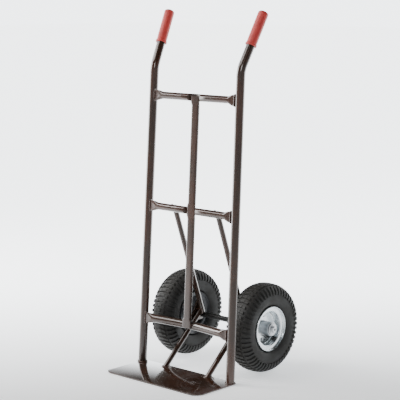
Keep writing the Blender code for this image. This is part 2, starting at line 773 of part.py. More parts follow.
def bolt_hole_cutter(name, wheel, out):
    """Round pegs where the bolts pass, as one cutter."""
    points, faces = [], []
    low, high = sorted((0.0, out * (FLANGE_FACE + 3 * RIM_SHEET)))
    for place in bolt_places():
        ring = circle(place, BOLT_DIAMETER / 2 + GAP, BOLT_SIDES)
        first = len(points)
        points += [(x, y, low) for x, y in ring] + [(x, y, high) for x, y in ring]
        faces.append(tuple(first + i for i in range(BOLT_SIDES)))
        faces.append(tuple(first + BOLT_SIDES + i for i in range(BOLT_SIDES)))
        for i in range(BOLT_SIDES):
            k = (i + 1) % BOLT_SIDES
            faces.append((first + i, first + k, first + BOLT_SIDES + k, first + BOLT_SIDES + i))
    mesh = bpy.data.meshes.new(name)
    mesh.from_pydata(points, [], faces)
    face_outwards(mesh)
    cutter = add_cutter(name, mesh, wheel)
    cutter.rotation_euler = ALONG_X
    return cutter


def valve_cutter(name, start, end, wheel):
    """A radial peg where the valve passes."""
    radial = Vector((math.cos(VALVE_ANGLE), math.sin(VALVE_ANGLE), 0))
    across = Vector((-radial.y, radial.x, 0))
    axial = Vector((0, 0, 1))
    rings = []
    for distance in (start, end):
        centre = radial * distance + axial * VALVE_OUT
        section = oval(VALVE_DIAMETER / 2 + GAP, VALVE_DIAMETER / 2 + GAP, 2, BOLT_SIDES)
        rings.append([tuple(centre + across * a + axial * b) for a, b in section])
    cutter = add_cutter(name, loft(name, rings, closed=False), wheel)
    cutter.rotation_euler = ALONG_X
    return cutter


def add_hub(side, wheel):
    bore = HUB_BORE / 2 + GAP
    profile = ring_profile(bore, HUB_OUTER_RADIUS, -HUB_LENGTH / 2, HUB_LENGTH / 2)
    turned_on_wheel(mirrored(side, "hub_tube"), profile, HUB_STEPS, ZINC, wheel)
    outer = HUB_BORE / 2
    for place, low in (("inboard", -HUB_LENGTH / 2), ("outboard", HUB_LENGTH / 2 - BEARING_WIDTH)):
        ring = ring_profile(outer - BEARING_RING, outer, low, low + BEARING_WIDTH)
        name = mirrored(side, place + "_bearing_outer_ring")
        turned_on_wheel(name, ring, HUB_STEPS, BEARING_STEEL, wheel)


def hexagon(width, place, height):
    """Twelve points round a hexagon, its corners and the middles of its sides."""
    corner = width / math.sqrt(3)
    points = []
    for i in range(BOLT_SIDES):
        angle = 2 * math.pi * i / BOLT_SIDES
        radius = corner if i % 2 == 0 else width / 2
        x = place[0] + radius * math.cos(angle)
        y = place[1] + radius * math.sin(angle)
        points.append((x, y, height))
    return points


def round_ring(radius, place, height):
    return [(x, y, height) for x, y in circle(place, radius, BOLT_SIDES)]


def add_rim_bolts(side, wheel):
    """Bolts with their heads on the outer half's flange and nuts on the inner half's."""
    seat = FLANGE_FACE + RIM_SHEET + GAP
    nut_end = -seat - NUT_HEIGHT
    for number, place in enumerate(bolt_places(), start=1):
        shank = BOLT_DIAMETER / 2
        name = mirrored(side, f"rim_bolt_{number}")
        rings = [
            round_ring(shank, place, nut_end - BOLT_END),
            round_ring(shank, place, seat),
            hexagon(BOLT_HEAD_WIDTH, place, seat),
            hexagon(BOLT_HEAD_WIDTH, place, seat + BOLT_HEAD_HEIGHT),
        ]
        bolt = add_piece(name, loft(name, rings, closed=False), ZINC, wheel)
        name = mirrored(side, f"rim_nut_{number}")
        bore = shank + GAP
        rings = [
            hexagon(BOLT_HEAD_WIDTH, place, nut_end),
            hexagon(BOLT_HEAD_WIDTH, place, -seat),
            round_ring(bore, place, -seat),
            round_ring(bore, place, nut_end),
        ]
        nut = add_piece(name, loft(name, rings, closed=True), ZINC, wheel)
        for piece in (bolt, nut):
            piece.rotation_euler = ALONG_X


def add_valve(side, wheel):
    """A bent stem from the inner tube through the rim, with a screwed cap."""
    radial = Vector((math.cos(VALVE_ANGLE), math.sin(VALVE_ANGLE), 0))
    half = (TUBE_OUTER_RADIUS - TUBE_INNER_RADIUS) / 2
    rise = half * (1 - math.sqrt(1 - (VALVE_OUT / TUBE_HALF_WIDTH) ** 2))
    inside = radial * (TUBE_INNER_RADIUS + rise + VALVE_INSIDE)
    bend = radial * VALVE_RADIUS
    out = Vector((0, 0, VALVE_OUT))
    tip = Vector((0, 0, VALVE_REACH))
    path = bend_path([inside + out, bend + out, bend + tip], VALVE_BEND, steps=4)
    name = mirrored(side, "valve_stem")
    data = curve_data(name, path, VALVE_DIAMETER / 2, BOLT_SIDES, caps=True)
    stem = add_piece(name, data, BLACK_PLASTIC, wheel)
    stem.rotation_euler = ALONG_X
    add_valve_cap(side, wheel, bend)


def add_valve_cap(side, wheel, place):
    radius = VALVE_CAP_DIAMETER / 2
    bore = VALVE_DIAMETER / 2 + GAP
    stem_end = VALVE_REACH + GAP
    end = stem_end + VALVE_CAP_END
    start = end - VALVE_CAP_LENGTH
    chamfer = VALVE_CAP_CHAMFER
    profile = [(0, end), (radius - chamfer, end), (radius, end - chamfer), (radius, start)]
    profile += [(bore, start), (bore, stem_end), (0, stem_end)]
    name = mirrored(side, "valve_cap")
    cap = turned(name, profile, BOLT_SIDES, BLACK_PLASTIC, wheel, loop=False)
    place = place.copy()
    place.rotate(Euler(ALONG_X))
    cap.location = place
    cap.rotation_euler = ALONG_X


def add_wheel(side):
    place = (side * TRACK / 2, AXLE_Y, TYRE_RADIUS)
    wheel = add_empty(mirrored(side, "wheel_axis"), place, scale=(side, 1, 1))
    add_tyre(side, wheel)
    add_inner_tube(side, wheel)
    add_rim_half(side, wheel, "rim_outer_half", 1)
    add_rim_half(side, wheel, "rim_inner_half", -1)
    add_hub(side, wheel)
    add_rim_bolts(side, wheel)
    add_valve(side, wheel)


def main():
    clear_scene()
    add_collections()
    frame = add_empty("frame_plane", (0, FOOT_Y, 0), (-RAIL_LEAN, 0, 0))
    for side in (-1, 1):
        add_rail(side, frame)
        add_grip(side, frame)
        add_struts(side)
        add_bracket(side)
        add_axle_fittings(side)
        add_wheel(side)
    add_crossbar("top_crossbar", TOP_CROSSBAR_UP, CROSSBAR_DIAMETER, 0, frame)
    add_crossbar("middle_crossbar", MIDDLE_CROSSBAR_UP, CROSSBAR_DIAMETER, 0, frame)
    add_crossbar("lower_crossbar", LOWER_CROSSBAR_UP, LOWER_CROSSBAR_DIAMETER, LOWER_BOW, frame)
    add_upright(frame)
    add_toe_plate()
    add_axle()


main()
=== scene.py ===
"""The looks of a hand truck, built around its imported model."""

import logging
import math
from dataclasses import dataclass
from enum import Enum
from typing import Callable, Iterable, Optional, Sequence

import bpy
import numpy as np
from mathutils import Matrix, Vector

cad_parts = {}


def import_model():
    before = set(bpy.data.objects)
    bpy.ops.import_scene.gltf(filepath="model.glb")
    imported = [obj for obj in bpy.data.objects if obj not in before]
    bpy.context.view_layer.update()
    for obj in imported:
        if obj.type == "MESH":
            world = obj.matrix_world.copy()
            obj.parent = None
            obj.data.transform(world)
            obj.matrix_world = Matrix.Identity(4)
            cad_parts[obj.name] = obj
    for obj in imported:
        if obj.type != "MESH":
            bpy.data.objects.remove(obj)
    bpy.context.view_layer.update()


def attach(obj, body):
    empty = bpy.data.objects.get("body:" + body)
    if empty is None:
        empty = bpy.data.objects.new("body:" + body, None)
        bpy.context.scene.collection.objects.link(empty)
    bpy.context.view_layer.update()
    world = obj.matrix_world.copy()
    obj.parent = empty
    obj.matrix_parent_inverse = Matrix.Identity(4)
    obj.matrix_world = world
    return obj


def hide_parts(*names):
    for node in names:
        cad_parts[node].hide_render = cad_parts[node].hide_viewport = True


LOG = logging.getLogger("hand_truck")
Ring = list[tuple[float, float, float]]
Profile = list[tuple[float, float]]
Colour = tuple[float, float, float]

GAP = 0.0003
RAIL_LEAN = math.radians(3.3)
FOOT_Y = -0.075
AXLE_Y = 0.095
AXLE_Z = 0.130
HALF_TRACK = 0.148
WHEEL_TURNS = 96


class Side(Enum):
    """The truck's left and right sides, by their sign along X."""

    LEFT = -1
    RIGHT = 1

    def name_of(self, piece: str) -> str:
        """The piece's name with its side in front."""
        return f"{self.name.lower()}_{piece}"


class Slot(Enum):
    """The record's material slots."""

    PAINT = "bronze_paint"
    BLACK_STEEL = "black_steel"
    GRIP = "grip_red"
    TYRE = "tyre"
    TUBE = "tube_rubber"
    RIM = "rim_silver"
    ZINC = "zinc"
    BEARING = "bearing_steel"
    BLACK_PLASTIC = "black_plastic"


# ----------------------------------------------------------------------------------- shader tools


class Value:
    """A shader socket that takes part in Python arithmetic."""

    def __init__(self, graph: "Graph", socket: bpy.types.NodeSocket) -> None:
        """Keeps the socket and the graph that it is in."""
        self.graph = graph
        self.socket = socket

    def __add__(self, other: "Value | float") -> "Value":
        """Adds."""
        return self.graph.math("ADD", self, other)

    def __radd__(self, other: float) -> "Value":
        """Adds to a number."""
        return self.graph.math("ADD", other, self)

    def __sub__(self, other: "Value | float") -> "Value":
        """Subtracts."""
        return self.graph.math("SUBTRACT", self, other)

    def __rsub__(self, other: float) -> "Value":
        """Subtracts from a number."""
        return self.graph.math("SUBTRACT", other, self)

    def __mul__(self, other: "Value | float") -> "Value":
        """Multiplies."""
        return self.graph.math("MULTIPLY", self, other)

    def __rmul__(self, other: float) -> "Value":
        """Multiplies a number."""
        return self.graph.math("MULTIPLY", other, self)

    def __truediv__(self, other: "Value | float") -> "Value":
        """Divides."""
        return self.graph.math("DIVIDE", self, other)

    def __pow__(self, other: float) -> "Value":
        """Raises to a power."""
        return self.graph.math("POWER", self, other)


class Graph:
    """A material's node tree, with its Principled shader."""

    def __init__(self, name: str) -> None:
        """Starts a material.

        Args:
            name: The material's name.
        """
        self.material = bpy.data.materials.new(name)
        self.material.use_nodes = True
        self.tree = self.material.node_tree
        self.shader = self.tree.nodes["Principled BSDF"]
        coordinates = self.node("ShaderNodeTexCoord")
        self.place = Value(self, coordinates.outputs["Object"])

    def node(
        self, kind: str, settings: Optional[dict] = None, sockets: Optional[dict] = None
    ) -> bpy.types.Node:
        """Adds a node.

        Args:
            kind: The node's type.
            settings: Its properties; "stops" sets a ramp's places and colours.
            sockets: A number, colour or Value for each named or numbered input.

        Returns:
            The node.
        """
        made = self.tree.nodes.new(kind)
        for key, setting in (settings or {}).items():
            if key == "stops":
                self._set_stops(made.color_ramp, setting)
            else:
                setattr(made, key, setting)
        for key, value in (sockets or {}).items():
            self.feed(made.inputs[key], value)
        return made

    @staticmethod
    def _set_stops(ramp: bpy.types.ColorRamp, stops: Sequence[tuple[float, Colour]]) -> None:
        """Gives a ramp its stops."""
        while len(ramp.elements) < len(stops):
            ramp.elements.new(0.5)
        for element, (place, colour) in zip(ramp.elements, stops):
            element.position = place
            element.color = (*colour, 1.0)

    def feed(self, socket: bpy.types.NodeSocket, value: "Value | float | Sequence[float]") -> None:
        """Links a Value to a socket, or sets the socket's own value."""
        if isinstance(value, Value):
            self.tree.links.new(value.socket, socket)
        elif isinstance(value, (tuple, list)) and len(value) == 3 and socket.type == "RGBA":
            socket.default_value = (*value, 1.0)
        else:
            socket.default_value = value

    def math(self, operation: str, *values: "Value | float") -> Value:
        """A Math node on up to three values."""
        made = self.node("ShaderNodeMath", {"operation": operation}, dict(enumerate(values)))
        return Value(self, made.outputs[0])

    def clamp(self, value: Value) -> Value:
        """The value held between 0 and 1."""
        made = self.node("ShaderNodeClamp", {}, {0: value})
        return Value(self, made.outputs[0])

    def noise(
        self, scale: float, detail: float = 3.0, rough: float = 0.55, at: Optional[Value] = None
    ) -> Value:
        """Fractal noise from 0 to 1 on the piece's own coordinates."""
        sockets = {"Vector": at or self.place, "Scale": scale, "Detail": detail, "Roughness": rough}
        return Value(self, self.node("ShaderNodeTexNoise", {}, sockets).outputs["Fac"])

    def cells(self, scale: float, feature: str = "F1") -> Value:
        """The distance in a Voronoi pattern."""
        sockets = {"Vector": self.place, "Scale": scale}
        made = self.node("ShaderNodeTexVoronoi", {"feature": feature}, sockets)
        return Value(self, made.outputs["Distance"])

    def stretched(self, scale: Sequence[float]) -> Value:
        """The piece's coordinates, scaled along each axis."""
        made = self.node("ShaderNodeMapping", {}, {"Vector": self.place, "Scale": tuple(scale)})
        return Value(self, made.outputs[0])

    def axis(self, letter: str) -> Value:
        """One of the piece's coordinates."""
        made = self.node("ShaderNodeSeparateXYZ", {}, {0: self.place})
        return Value(self, made.outputs[letter])

    def step(self, value: Value, low: float, high: float) -> Value:
        """Rises smoothly from 0 to 1 between two values."""
        sockets = {"Value": value, "From Min": low, "From Max": high}
        made = self.node("ShaderNodeMapRange", {"interpolation_type": "SMOOTHSTEP"}, sockets)
        return Value(self, made.outputs[0])

    def mix(self, factor: "Value | float", first: "Value | Colour", second: "Value | Colour") -> Value:
        """Mixes two colours."""
        made = self.node("ShaderNodeMix", {"data_type": "RGBA"}, {0: factor, 6: first, 7: second})
        return Value(self, made.outputs[2])

    def bump(self, height: Value, strength: float, distance: float) -> None:
        """Feeds a height to the shader's normal."""
        sockets = {"Height": height, "Strength": strength, "Distance": distance}
        made = self.node("ShaderNodeBump", {}, sockets)
        self.tree.links.new(made.outputs[0], self.shader.inputs["Normal"])

    def shade(self, **sockets: "Value | float | Colour") -> bpy.types.Material:
        """Feeds the shader's inputs, named with underscores for spaces, and returns the material."""
        for key, value in sockets.items():
            self.feed(self.shader.inputs[key.replace("_", " ")], value)
        return self.material


# --------------------------------------------------------------------------------------- finishes


@dataclass(frozen=True)
class Paint:
    """Glossy bronze-brown paint with faint orange peel, dust low down and darker, redder drifts."""

    slot: Slot = Slot.PAINT
    base: Colour = (0.036, 0.019, 0.012)
    drift: Colour = (0.058, 0.023, 0.013)
    dark: Colour = (0.016, 0.009, 0.007)
    dust: Colour = (0.100, 0.080, 0.064)
    roughness: float = 0.20
    coat: float = 0.75
    coat_roughness: float = 0.06
    wear: float = 1.0

    def material(self, name: str) -> bpy.types.Material:
        """Makes the material."""
        g = Graph(name)
        drifts = g.step(g.noise(7.0, 4.0), 0.38, 0.66)
        specks = g.step(g.noise(420.0, 2.0), 0.66, 0.80)
        low = 1.0 - g.step(g.axis("Z"), 0.0, 0.30)
        dusty = g.clamp(g.step(g.noise(38.0, 5.0), 0.45, 0.85) * (0.06 + 0.14 * low) * self.wear)
        colour = g.mix(drifts, self.base, self.drift)
        colour = g.mix(specks * 0.35, colour, self.dark)
        colour = g.mix(dusty, colour, self.dust)
        scuffs = g.step(g.noise(60.0, 6.0, 0.7, g.stretched((1.0, 1.0, 0.12))), 0.58, 0.74)
        g.bump(g.noise(520.0, 2.0) * 0.6 + g.noise(90.0, 2.0) * 0.4, 0.10, 0.0006)
        g.shader.inputs["Coat Roughness"].default_value = self.coat_roughness
        return g.shade(
            Base_Color=colour,
            Metallic=0.15,
            Roughness=self.roughness + scuffs * 0.12 * self.wear + dusty * 0.6,
            Coat_Weight=self.coat - scuffs * 0.25 * self.wear,
        )


@dataclass(frozen=True)
class GripVinyl:
    """Soft red vinyl with a fine grain and a little soiling."""

    slot: Slot = Slot.GRIP
    base: Colour = (0.62, 0.060, 0.050)
    deep: Colour = (0.42, 0.035, 0.035)
    roughness: float = 0.36

    def material(self, name: str) -> bpy.types.Material:
        """Makes the material."""
        g = Graph(name)
        cloud = g.step(g.noise(55.0, 5.0), 0.35, 0.75)
        grain = g.noise(900.0, 2.0)
        colour = g.mix(cloud * 0.55, self.base, self.deep)
        g.bump(grain + g.cells(700.0) * 0.5, 0.22, 0.0004)
        g.shader.inputs["Subsurface Weight"].default_value = 0.0
        return g.shade(Base_Color=colour, Roughness=self.roughness + grain * 0.16)


@dataclass(frozen=True)
class TyreRubber:
    """Dull black rubber, greyer with dust on its crown."""

    slot: Slot = Slot.TYRE
    base: Colour = (0.016, 0.016, 0.015)
    worn: Colour = (0.040, 0.037, 0.032)
    axle_y: float = AXLE_Y
    axle_z: float = AXLE_Z

    def material(self, name: str) -> bpy.types.Material:
        """Makes the material."""
        g = Graph(name)
        y, z = g.axis("Y") - self.axle_y, g.axis("Z") - self.axle_z
        radius = g.math("SQRT", y * y + z * z)
        crown = g.step(radius, 0.119, 0.130)
        patches = g.step(g.noise(24.0, 6.0, 0.65), 0.40, 0.72)
        grain = g.noise(650.0, 3.0)
        colour = g.mix(g.clamp(patches * 0.45 + crown * 0.40), self.base, self.worn)
        moulding = g.math("SINE", radius * 2600.0) * 0.5 + 0.5
        band = g.step(radius, 0.070, 0.074) * (1.0 - g.step(radius, 0.100, 0.104))
        g.bump(grain * 0.6 + moulding * band * 0.5, 0.35, 0.0008)
        return g.shade(Base_Color=colour, Roughness=0.58 + patches * 0.22 + grain * 0.08)


@dataclass(frozen=True)
class PlainRubber:
    """Smooth black rubber."""

    slot: Slot = Slot.TUBE
    base: Colour = (0.014, 0.014, 0.014)
    pale: Colour = (0.035, 0.035, 0.034)
    roughness: float = 0.45

    def material(self, name: str) -> bpy.types.Material:
        """Makes the material."""
        g = Graph(name)
        cloud = g.noise(80.0, 4.0)
        g.bump(g.noise(800.0, 2.0), 0.2, 0.0004)
        return g.shade(Base_Color=g.mix(cloud, self.base, self.pale), Roughness=self.roughness + cloud * 0.2)


@dataclass(frozen=True)
class PlatedMetal:
    """A bright plated or machined metal, with grain, clouding and fine marks."""

    slot: Slot = Slot.ZINC
    base: Colour = (0.62, 0.64, 0.66)
    cloud: Colour = (0.48, 0.50, 0.52)
    roughness: float = 0.28
    metallic: float = 0.95
    spangle: float = 60.0

    def material(self, name: str) -> bpy.types.Material:
        """Makes the material."""
        g = Graph(name)
        drift = g.step(g.noise(self.spangle, 4.0), 0.35, 0.7)
        marks = g.step(g.noise(240.0, 4.0, 0.7), 0.60, 0.72)
        g.bump(g.noise(700.0, 2.0), 0.08, 0.0004)
        return g.shade(
            Base_Color=g.mix(drift * 0.6 + marks * 0.2, self.base, self.cloud),
            Metallic=self.metallic,
            Roughness=self.roughness + drift * 0.10 + marks * 0.12,
        )


PAINT = Paint()
PLATE_PAINT = Paint(roughness=0.13, coat=1.0, coat_roughness=0.03, wear=0.35)
WELD_PAINT = Paint(base=(0.060, 0.022, 0.013), roughness=0.26)
GRIP = GripVinyl()
TYRE = TyreRubber()
BLACK_PLASTIC = PlainRubber(slot=Slot.BLACK_PLASTIC)
# A near-black copy of the silver rim finish, in the same slot: painted shade for the inboard rim pressing,
# the side that faces the other wheel.
RIM_INSIDE_PAINTED_SHADE = PlatedMetal(Slot.RIM, (0.060, 0.062, 0.066), (0.030, 0.031, 0.033), 0.36, 0.6, 40.0)
RIM = PlatedMetal(Slot.RIM, (0.86, 0.90, 0.92), (0.70, 0.76, 0.80), 0.20, 0.92, 30.0)
ZINC = PlatedMetal()
BEARING = PlatedMetal(Slot.BEARING, (0.52, 0.53, 0.54), (0.40, 0.41, 0.42), 0.20, 1.0, 120.0)
BLACK_STEEL = PlatedMetal(Slot.BLACK_STEEL, (0.016, 0.016, 0.016), (0.030, 0.029, 0.028), 0.34, 0.4, 70.0)


# ---------------------------------------------------------------------------------- making meshes


def start_clean() -> None:
    """Leaves nothing selected, in object mode."""
    if bpy.context.mode != "OBJECT":
        bpy.ops.object.mode_set(mode="OBJECT")
    bpy.ops.object.select_all(action="DESELECT")


def finish_mesh(obj: bpy.types.Object, angle: float = 32.0) -> None:
    """Turns the faces outwards and shades them smooth, apart from sharp edges.

    Args:
        obj: A closed mesh, alone and active; not used.
        angle: The least sharp angle, in degrees.
    """
    bpy.ops.object.mode_set(mode="EDIT")
    bpy.ops.mesh.select_all(action="SELECT")
    bpy.ops.mesh.normals_make_consistent(inside=False)
    bpy.ops.object.mode_set(mode="OBJECT")
    bpy.ops.object.shade_smooth_by_angle(angle=math.radians(angle))


def skin(name: str, rings: Sequence[Ring], joined: bool = False) -> bpy.types.Object:
    """Extrudes a circle into a sleeve of rings, then lays each ring's points in place.

    Args:
        name: The piece's name.
        rings: The places of the points, ring after ring.
        joined: Whether the last ring meets the first; otherwise both ends are capped.

    Returns:
        The object, closed, at the origin.
    """
    count = len(rings[0])
    start_clean()
    bpy.ops.mesh.primitive_circle_add(vertices=count, radius=1.0, fill_type="NOTHING", location=(0, 0, 0))
    obj = bpy.context.active_object
    obj.name = obj.data.name = name
    bpy.ops.object.mode_set(mode="EDIT")
    bpy.ops.mesh.select_mode(type="VERT")
    bpy.ops.mesh.select_all(action="SELECT")
    for _ in rings[1:]:
        bpy.ops.mesh.extrude_region_move(TRANSFORM_OT_translate={"value": (0.0, 0.0, 1.0)})
    bpy.ops.mesh.select_all(action="DESELECT")
    bpy.ops.mesh.select_mode(type="EDGE")
    bpy.ops.mesh.select_non_manifold()
    if joined:
        bpy.ops.mesh.bridge_edge_loops()
    else:
        bpy.ops.mesh.edge_face_add()
    bpy.ops.mesh.select_mode(type="VERT")
    bpy.ops.object.mode_set(mode="OBJECT")
    old = np.zeros(len(obj.data.vertices) * 3)
    obj.data.vertices.foreach_get("co", old)
    old = old.reshape(-1, 3)
    ring = np.rint(old[:, 2]).astype(int)
    place = np.rint(np.arctan2(old[:, 1], old[:, 0]) / (2 * math.pi) * count).astype(int) % count
    new = np.array(rings)[ring, place]
    obj.data.vertices.foreach_set("co", new.ravel())
    obj.data.update()
    return obj


def superellipse(half_a: float, half_b: float, power: float, count: int) -> Profile:
    """Points round a superellipse: an ellipse at power 2, squarer above it."""
    points = []
    for i in range(count):
        angle = 2 * math.pi * i / count
        c, s = math.cos(angle), math.sin(angle)
        points.append(
            (
                math.copysign(abs(c) ** (2 / power), c) * half_a,
                math.copysign(abs(s) ** (2 / power), s) * half_b,
            )
        )
    return points


def rounded(profile: Profile, radius: float, steps: int = 3, loop: bool = True) -> Profile:
    """Rounds a profile's corners.

    Args:
        profile: Its corners.
        radius: The most that a corner is rounded by.
        steps: The number of segments in each corner.
        loop: Whether the profile closes on itself; otherwise its ends stay as they are.

    Returns:
        The rounded profile.
    """
    points = [Vector(p) for p in profile]
    made: Profile = []
    for i, corner in enumerate(points):
        if not loop and i in (0, len(points) - 1):
            made.append(tuple(corner))
            continue
        before, after = points[i - 1], points[(i + 1) % len(points)]
        reach = min(radius, (before - corner).length * 0.45, (after - corner).length * 0.45)
        first = corner + (before - corner).normalized() * reach
        last = corner + (after - corner).normalized() * reach
        for k in range(steps + 1):
            t = k / steps
            made.append(tuple(first * (1 - t) ** 2 + corner * 2 * t * (1 - t) + last * t * t))
    return made


def rounded_path(points: Sequence[Sequence[float]], radius: float, steps: int = 10) -> list[Vector]:
    """The path with each inner corner rounded to an arc of a radius."""
    path = [Vector(p) for p in points]
    made = [path[0]]
    for before, corner, after in zip(path, path[1:], path[2:]):
        towards, away = (before - corner).normalized(), (after - corner).normalized()
        half_angle = towards.angle(away) / 2
        middle = corner + (towards + away).normalized() * radius / math.sin(half_angle)
        first = corner + towards * radius / math.tan(half_angle) - middle
        last = corner + away * radius / math.tan(half_angle) - middle
        made += [middle + first.slerp(last, i / steps) * radius for i in range(steps + 1)]
    made.append(path[-1])
    return made


def tube_rings(
    path: Sequence[Vector],
    radius: "float | Callable[[int], float]",
    count: int,
    loop: bool = False,
) -> list[Ring]:
    """Circles across a path.

    Args:
        path: The path's points.
        radius: The tube's radius, or a function that gives it at each point.
        count: Points in each circle.
        loop: Whether the path closes on itself.

    Returns:
        The rings, one for each point.
    """
    rings: list[Ring] = []
    up = Vector((1.0, 0.0, 0.0))
    last = len(path) - 1
    for i, point in enumerate(path):
        before = path[i - 1] if i or loop else point
        after = path[(i + 1) % len(path)] if i < last or loop else point
        along = (after - before).normalized()
        if i == 0 and abs(along.dot(up)) > 0.9:
            up = Vector((0.0, 0.0, 1.0))
        up = (up - along * up.dot(along)).normalized()
        across = along.cross(up)
        size = radius(i) if callable(radius) else radius
        ring = []
        for k in range(count):
            angle = 2 * math.pi * k / count
            ring.append(tuple(point + (up * math.cos(angle) + across * math.sin(angle)) * size))
        rings.append(ring)
    return rings


def lay_on_plane(ring: Ring, along: Vector, point: Vector, normal: Vector) -> Ring:
    """Slides a ring's points along a direction until they lie on a plane."""
    laid = []
    for corner in ring:
        place = Vector(corner)
        laid.append(tuple(place + along * ((point - place).dot(normal) / along.dot(normal))))
    return laid


def turned_rings(
    profile: Profile, place: Callable[[float, float, float], Sequence[float]], count: int
) -> list[Ring]:
    """A profile of (radius, height) turned round an axis.

    Args:
        profile: The profile.
        place: Gives the world place of a radius, an angle and a height.
        count: Points in each turn.

    Returns:
        A ring for each point of the profile.
    """
    turns = [2 * math.pi * i / count for i in range(count)]
    return [[tuple(place(radius, turn, height)) for turn in turns] for radius, height in profile]


class Maker:
    """Hands finished pieces over: their material, body and the nodes that they stand for."""

    def __init__(self) -> None:
        """Starts with nothing made."""
        self.count = 0

    def hand_over(
        self,
        obj: bpy.types.Object,
        finish: "Paint | GripVinyl | TyreRubber | PlainRubber | PlatedMetal",
        body: str,
        nodes: Iterable[str] = (),
    ) -> bpy.types.Object:
        """Dresses a piece and tells the frame about it.

        Args:
            obj: The piece.
            finish: Its finish.
            body: The body that it rides on.
            nodes: The nodes that it stands for.

        Returns:
            The same piece.
        """
        obj.data.materials.clear()
        obj.data.materials.append(finish.material(obj.name))
        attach(obj, body)
        names = list(nodes)
        if names:
            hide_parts(*names)
        self.count += 1
        LOG.info("%s rides on %s", obj.name, body)
        return obj


MAKER = Maker()


def on_frame(x: float, back: float, up: float) -> Vector:
    """The world place of a point in the rails' leaning plane.

    Args:
        x: Across the truck.
        back: Behind the plane.
        up: Up along it.

    Returns:
        The place.
    """
    c, s = math.cos(RAIL_LEAN), math.sin(RAIL_LEAN)
    return Vector((x, FOOT_Y + up * s + back * c, up * c - back * s))


# -------------------------------------------------------------------------------------- the frame


@dataclass
class Rails:
    """The two bent tubes and their grips."""

    diameter: float = 0.025
    spacing_foot: float = 0.346
    spacing_bend: float = 0.330
    bend_up: float = 0.880
    bend_radius: float = 0.075
    handle_up: float = 0.163
    handle_back: float = 0.071
    handle_splay: float = 0.0145
    plate_top: float = 0.004
    grip_diameter: float = 0.0295
    collar_diameter: float = 0.033
    collar_length: float = 0.006
    grip_length: float = 0.105
    grip_end_wall: float = 0.004
    rib_count: int = 20
    rib_height: float = 0.0003

    def half_spacing(self, up: float) -> float:
        """Half the rails' spacing at a distance up the frame."""
        return (self.spacing_foot + (self.spacing_bend - self.spacing_foot) * up / self.bend_up) / 2

    def handle(self, side: Side) -> tuple[Vector, Vector]:
        """The grip's outer end and the direction towards it, in world places."""
        x = side.value * self.half_spacing(self.bend_up)
        corner = on_frame(x, 0, self.bend_up)
        tip = on_frame(x + side.value * self.handle_splay, self.handle_back, self.bend_up + self.handle_up)
        return tip, (tip - corner).normalized()

    def build(self) -> None:
        """Makes both rails and both grips."""
        for side in Side:
            self.build_rail(side)
            self.build_grip(side)

    def build_rail(self, side: Side) -> None:
        """Makes a rail, its foot cut level just above the plate."""
        tip, along = self.handle(side)
        foot = on_frame(side.value * self.half_spacing(0.0), 0, 0.0)
        corner = on_frame(side.value * self.half_spacing(self.bend_up), 0, self.bend_up)
        path = rounded_path([foot, corner, tip - along * (self.grip_end_wall + GAP)], self.bend_radius)
        straight = [path[0].lerp(path[1], i / 12) for i in range(12)]
        path = straight + path[1:]
        rings = tube_rings(path, self.diameter / 2, 40)
        upwards = (corner - foot).normalized()
        level = Vector((0, 0, self.plate_top + GAP))
        rings[0] = lay_on_plane(rings[0], upwards, level, Vector((0, 0, 1)))
        rail = skin(side.name_of("rail_tube"), rings)
        finish_mesh(rail)
        MAKER.hand_over(rail, PAINT, "frame", [side.name_of("rail")])

    def grip_profile(self) -> Profile:
        """The sleeve's outside and bore, from its round end, with moulded rings along it."""
        radius, bore, collar = self.grip_diameter / 2, self.diameter / 2 + GAP, self.collar_diameter / 2
        length = self.grip_length
        dome = [
            (radius * math.sin(a), length - radius / 2 * (1 - math.cos(a)))
            for a in np.linspace(0.06, 1.50, 10)
        ]
        start, end = length - radius * 0.62, self.collar_length + 0.008
        ribs = []
        for i in range(self.rib_count):
            top = start + (end - start) * i / self.rib_count
            pitch = (start - end) / self.rib_count
            ribs += [(radius, top), (radius + self.rib_height, top - pitch * 0.25)]
            ribs += [(radius + self.rib_height, top - pitch * 0.55), (radius, top - pitch * 0.80)]
        tail = [(radius, end), (radius, self.collar_length + 0.001), (collar, self.collar_length - 0.0008)]
        tail += [(collar, 0.0008), (collar - 0.0008, 0.0), (bore, 0.0), (bore, length - self.grip_end_wall)]
        return dome + ribs + tail

    def build_grip(self, side: Side) -> None:
        """Makes a grip over the handle's end."""
        tip, along = self.handle(side)
        across = Vector((1, 0, 0)).cross(along).normalized()
        other = along.cross(across)

        def place(radius: float, turn: float, height: float) -> Vector:
            """A place on the grip, measured from its open end."""
            centre = tip - along * (self.grip_length - height)
            return centre + (across * math.cos(turn) + other * math.sin(turn)) * radius

        grip = skin(side.name_of("grip_sleeve"), turned_rings(self.grip_profile(), place, 48))
        finish_mesh(grip, 40.0)
        MAKER.hand_over(grip, GRIP, "frame", [side.name_of("grip")])


